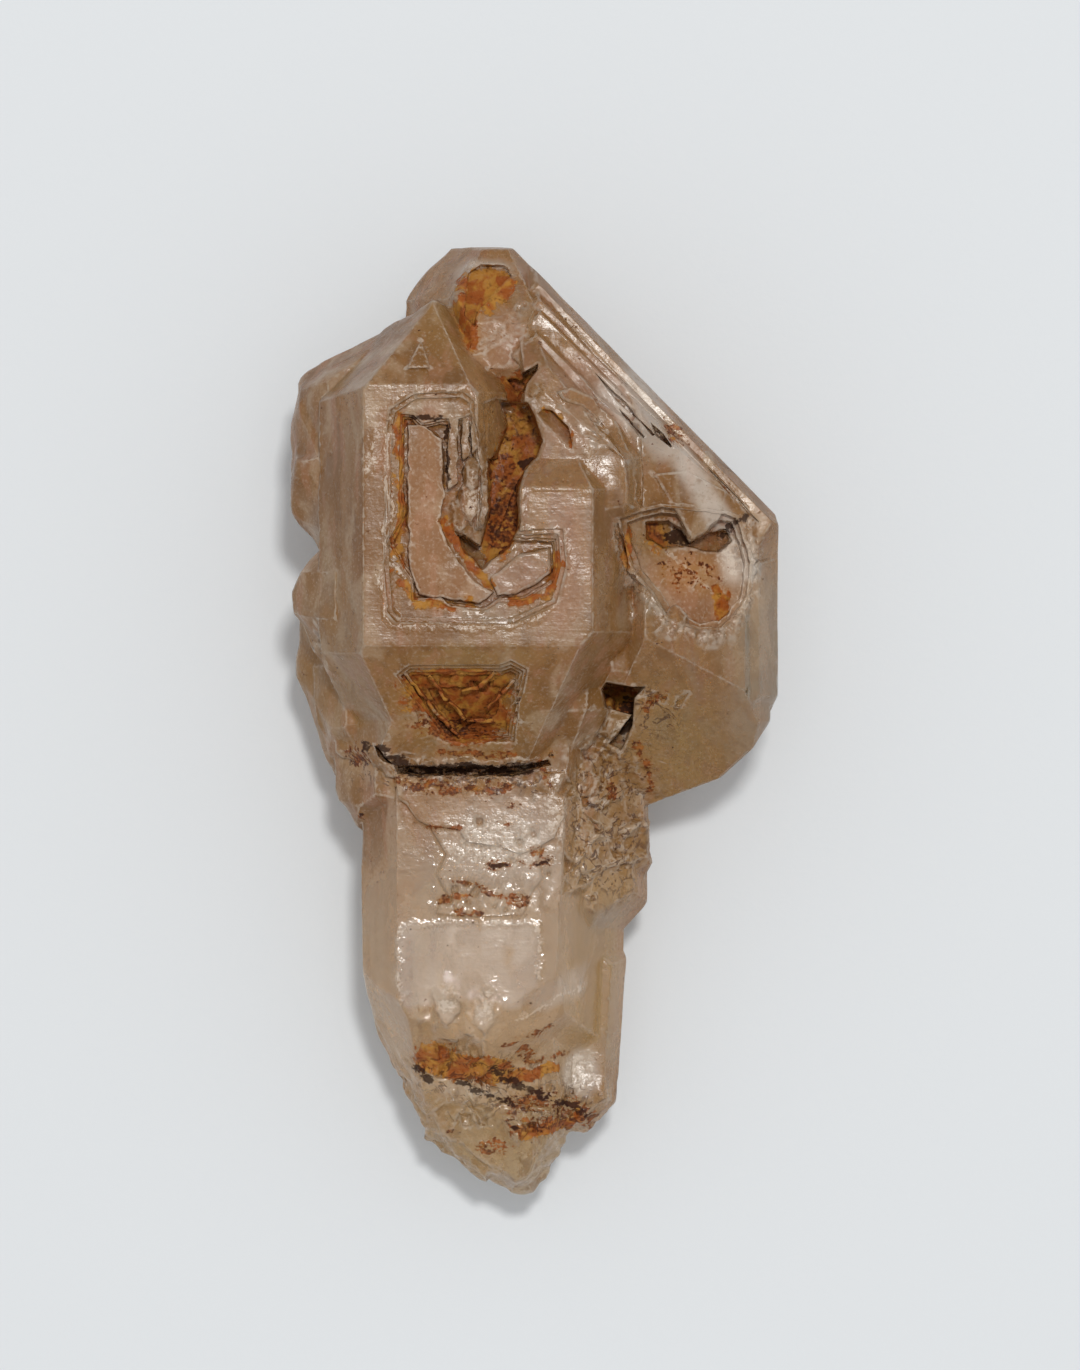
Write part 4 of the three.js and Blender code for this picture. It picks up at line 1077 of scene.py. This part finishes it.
    def shape(self, form: bmesh.types.BMesh) -> None:
        """Moves the points: ragged hollows, a pitted collar, a rippled break and slightly uneven faces.

        Args:
            form: The shape. What lies on the table stays flat.
        """
        form.normal_update()
        ground = Ground.of(np.array([v.co / MM for v in form.verts]))
        hollow, pitted, broken = HOLLOWS.weight(ground), PITTED.weight(ground), BROKEN.weight(ground)
        raised, sunk, wavy = RAISED.weight(ground), SUNK.weight(ground), WAVY.weight(ground)
        free = ground.at[:, 2] >= self.still_below
        for i, v in enumerate(form.verts):
            if not free[i]:
                continue
            at = v.co / MM
            out = self.height(self.everywhere, at)
            out += pitted[i] * self.height(self.on_pits, at) + broken[i] * self.height(self.on_breaks, at)
            out += hollow[i] * self.height(self.in_hollows, at) + wavy[i] * self.height(self.on_waves, at)
            out += raised[i] * (self.ridge + self.height(self.on_ridges, at))
            out -= sunk[i] * (self.groove + self.height(self.in_grooves, at))
            shakes = (noise.noise_vector(at * pitch) * size for pitch, size in self.ragged)
            shake = sum(shakes, Vector((0, 0, 0)))
            loose = max(hollow[i], pitted[i] * 0.8, broken[i] * 0.8, raised[i] * 0.6)
            v.co += (v.normal * out + Vector((shake.x, shake.y, 0)) * loose) * MM

    @staticmethod
    def height(layers: tuple[Layer, ...], at: Vector) -> float:
        """How far some layers together move the surface at a place."""
        return sum(layer.at(at) for layer in layers)

    def measure(self, form: bmesh.types.BMesh, mesh: bpy.types.Mesh) -> None:
        """Fills the mesh, and keeps at each point how shut in it is, how sharp its edge is, and its regions.

        Args:
            form: The finished shape.
            mesh: The mesh that takes it.
        """
        form.normal_update()
        tree = BVHTree.FromBMesh(form)
        spread = [self.ray(i) for i in range(self.rays)]
        shut, sharp = [], []
        for v in form.verts:
            turn = v.normal.to_track_quat("Z", "Y")
            start = v.co + v.normal * (self.ray_start * MM)
            hits = sum(tree.ray_cast(start, turn @ d, self.ray_reach * MM)[0] is not None for d in spread)
            shut.append(hits / self.rays)
            sharp.append(max(0.0, max(e.calc_face_angle_signed(0.0) for e in v.link_edges) / math.pi * 2))
        ground = Ground.of(np.array([v.co / MM for v in form.verts]))
        places = {region.name: region.weight(ground) for region in COLOURED}
        form.to_mesh(mesh)
        form.free()
        for name, values in {"hollow": shut, "edge": sharp, **places}.items():
            kept = mesh.attributes.new(name, "FLOAT", "POINT")
            kept.data.foreach_set("value", np.array(values, np.float32))

    def ray(self, index: int) -> Vector:
        """One of the even directions about a point's normal.

        Args:
            index: Which one, from 0.

        Returns:
            The direction, with the normal along Z.
        """
        height = 1 - (index + 0.5) / self.rays * self.ray_spread
        turn = index * self.golden_turn
        out = math.sqrt(1 - height * height)
        return Vector((math.cos(turn) * out, math.sin(turn) * out, height))


@dataclass(frozen=True)
class Lamp:
    """A square light that looks at the specimen.

    Attributes:
        name: The light's name.
        place: Where it is, in metres.
        size: The length of its side, in metres.
        power: Its power, in watts.
        colour: Its colour.
    """

    name: str
    place: Triple
    size: float
    power: float
    colour: Triple

    def build(self) -> None:
        """Makes the light."""
        lamp = bpy.data.lights.new(self.name, "AREA")
        lamp.size = self.size
        lamp.energy = self.power
        lamp.color = self.colour
        holder = bpy.data.objects.new(self.name, lamp)
        holder.location = self.place
        holder.rotation_euler = Vector(self.place).to_track_quat("Z", "Y").to_euler()
        bpy.context.scene.collection.objects.link(holder)


@dataclass
class Studio:
    """The floor, the lights and the camera.

    scale is in millimetres a pixel of the photo. centre is the middle of the frame, and level the height
    where the scale holds, both in millimetres. distance and floor_half are in metres.
    """

    scale: float = 0.0632
    centre: Pair = (0.379, 2.37)
    level: float = 12.0
    distance: float = 0.70
    frame_height: int = 1370
    film: float = 36.0
    floor_half: float = 0.9
    world: Triple = (0.93, 0.93, 0.93)
    world_strength: float = 0.54
    key: Lamp = Lamp("key", (0.065, 0.2, 1.0), 0.08, 4.3, (1.0, 0.98, 0.95))
    overhead: Lamp = Lamp("overhead", (0.0, 0.02, 1.15), 0.6, 1.2, (1.0, 0.97, 0.97))
    paper: PaperFinish = field(default_factory=PaperFinish)

    def build(self) -> None:
        """Makes the whole studio."""
        self.floor()
        self.key.build()
        self.overhead.build()
        world = bpy.data.worlds.new("room")
        bpy.context.scene.world = world
        world.use_nodes = True
        sky = world.node_tree.nodes["Background"]
        sky.inputs["Color"].default_value = (*self.world, 1.0)
        sky.inputs["Strength"].default_value = self.world_strength
        bpy.context.scene.view_settings.view_transform = "Standard"
        self.bounces()
        self.camera()

    def bounces(self) -> None:
        """Lets light through the crystal and back from the floor, and no further."""
        cycles = bpy.context.scene.cycles
        cycles.max_bounces = 8
        cycles.diffuse_bounces = 3
        cycles.glossy_bounces = 4
        cycles.transmission_bounces = 7
        cycles.blur_glossy = 1.0

    def floor(self) -> None:
        """Makes the plain floor that the specimen lies on."""
        half = self.floor_half
        mesh = bpy.data.meshes.new("floor")
        plan = [(-half, -half, 0), (half, -half, 0), (half, half, 0), (-half, half, 0)]
        mesh.from_pydata(plan, [], [(0, 1, 2, 3)])
        mesh.materials.append(self.paper.material())
        floor = bpy.data.objects.new("floor", mesh)
        bpy.context.scene.collection.objects.link(floor)

    def camera(self) -> None:
        """Makes the camera, which looks straight down from far away."""
        lens = bpy.data.cameras.new("camera")
        lens.sensor_width = self.film
        lens.lens = self.film * self.distance / (self.frame_height * self.scale * MM)
        holder = bpy.data.objects.new("camera", lens)
        x, y = self.centre
        holder.location = (x * MM, y * MM, self.level * MM + self.distance)
        bpy.context.scene.collection.objects.link(holder)
        bpy.context.scene.camera = holder


def corners(box: Sequence[Iterable[float]]) -> list[list[float]]:
    """A box's two corners as plain lists."""
    return [[float(number) for number in corner] for corner in box]


def main() -> None:
    """Dresses the specimen and sets the studio."""
    logging.basicConfig(level=logging.INFO, format="%(name)s: %(message)s")
    # Vector noise starts from the clock unless it is given a seed.
    noise.seed_set(SEED)
    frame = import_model()
    specimen = Specimen()
    specimen.build(frame["nodes"][specimen.node])
    Studio().build()


if __name__ == "__main__":
    main()
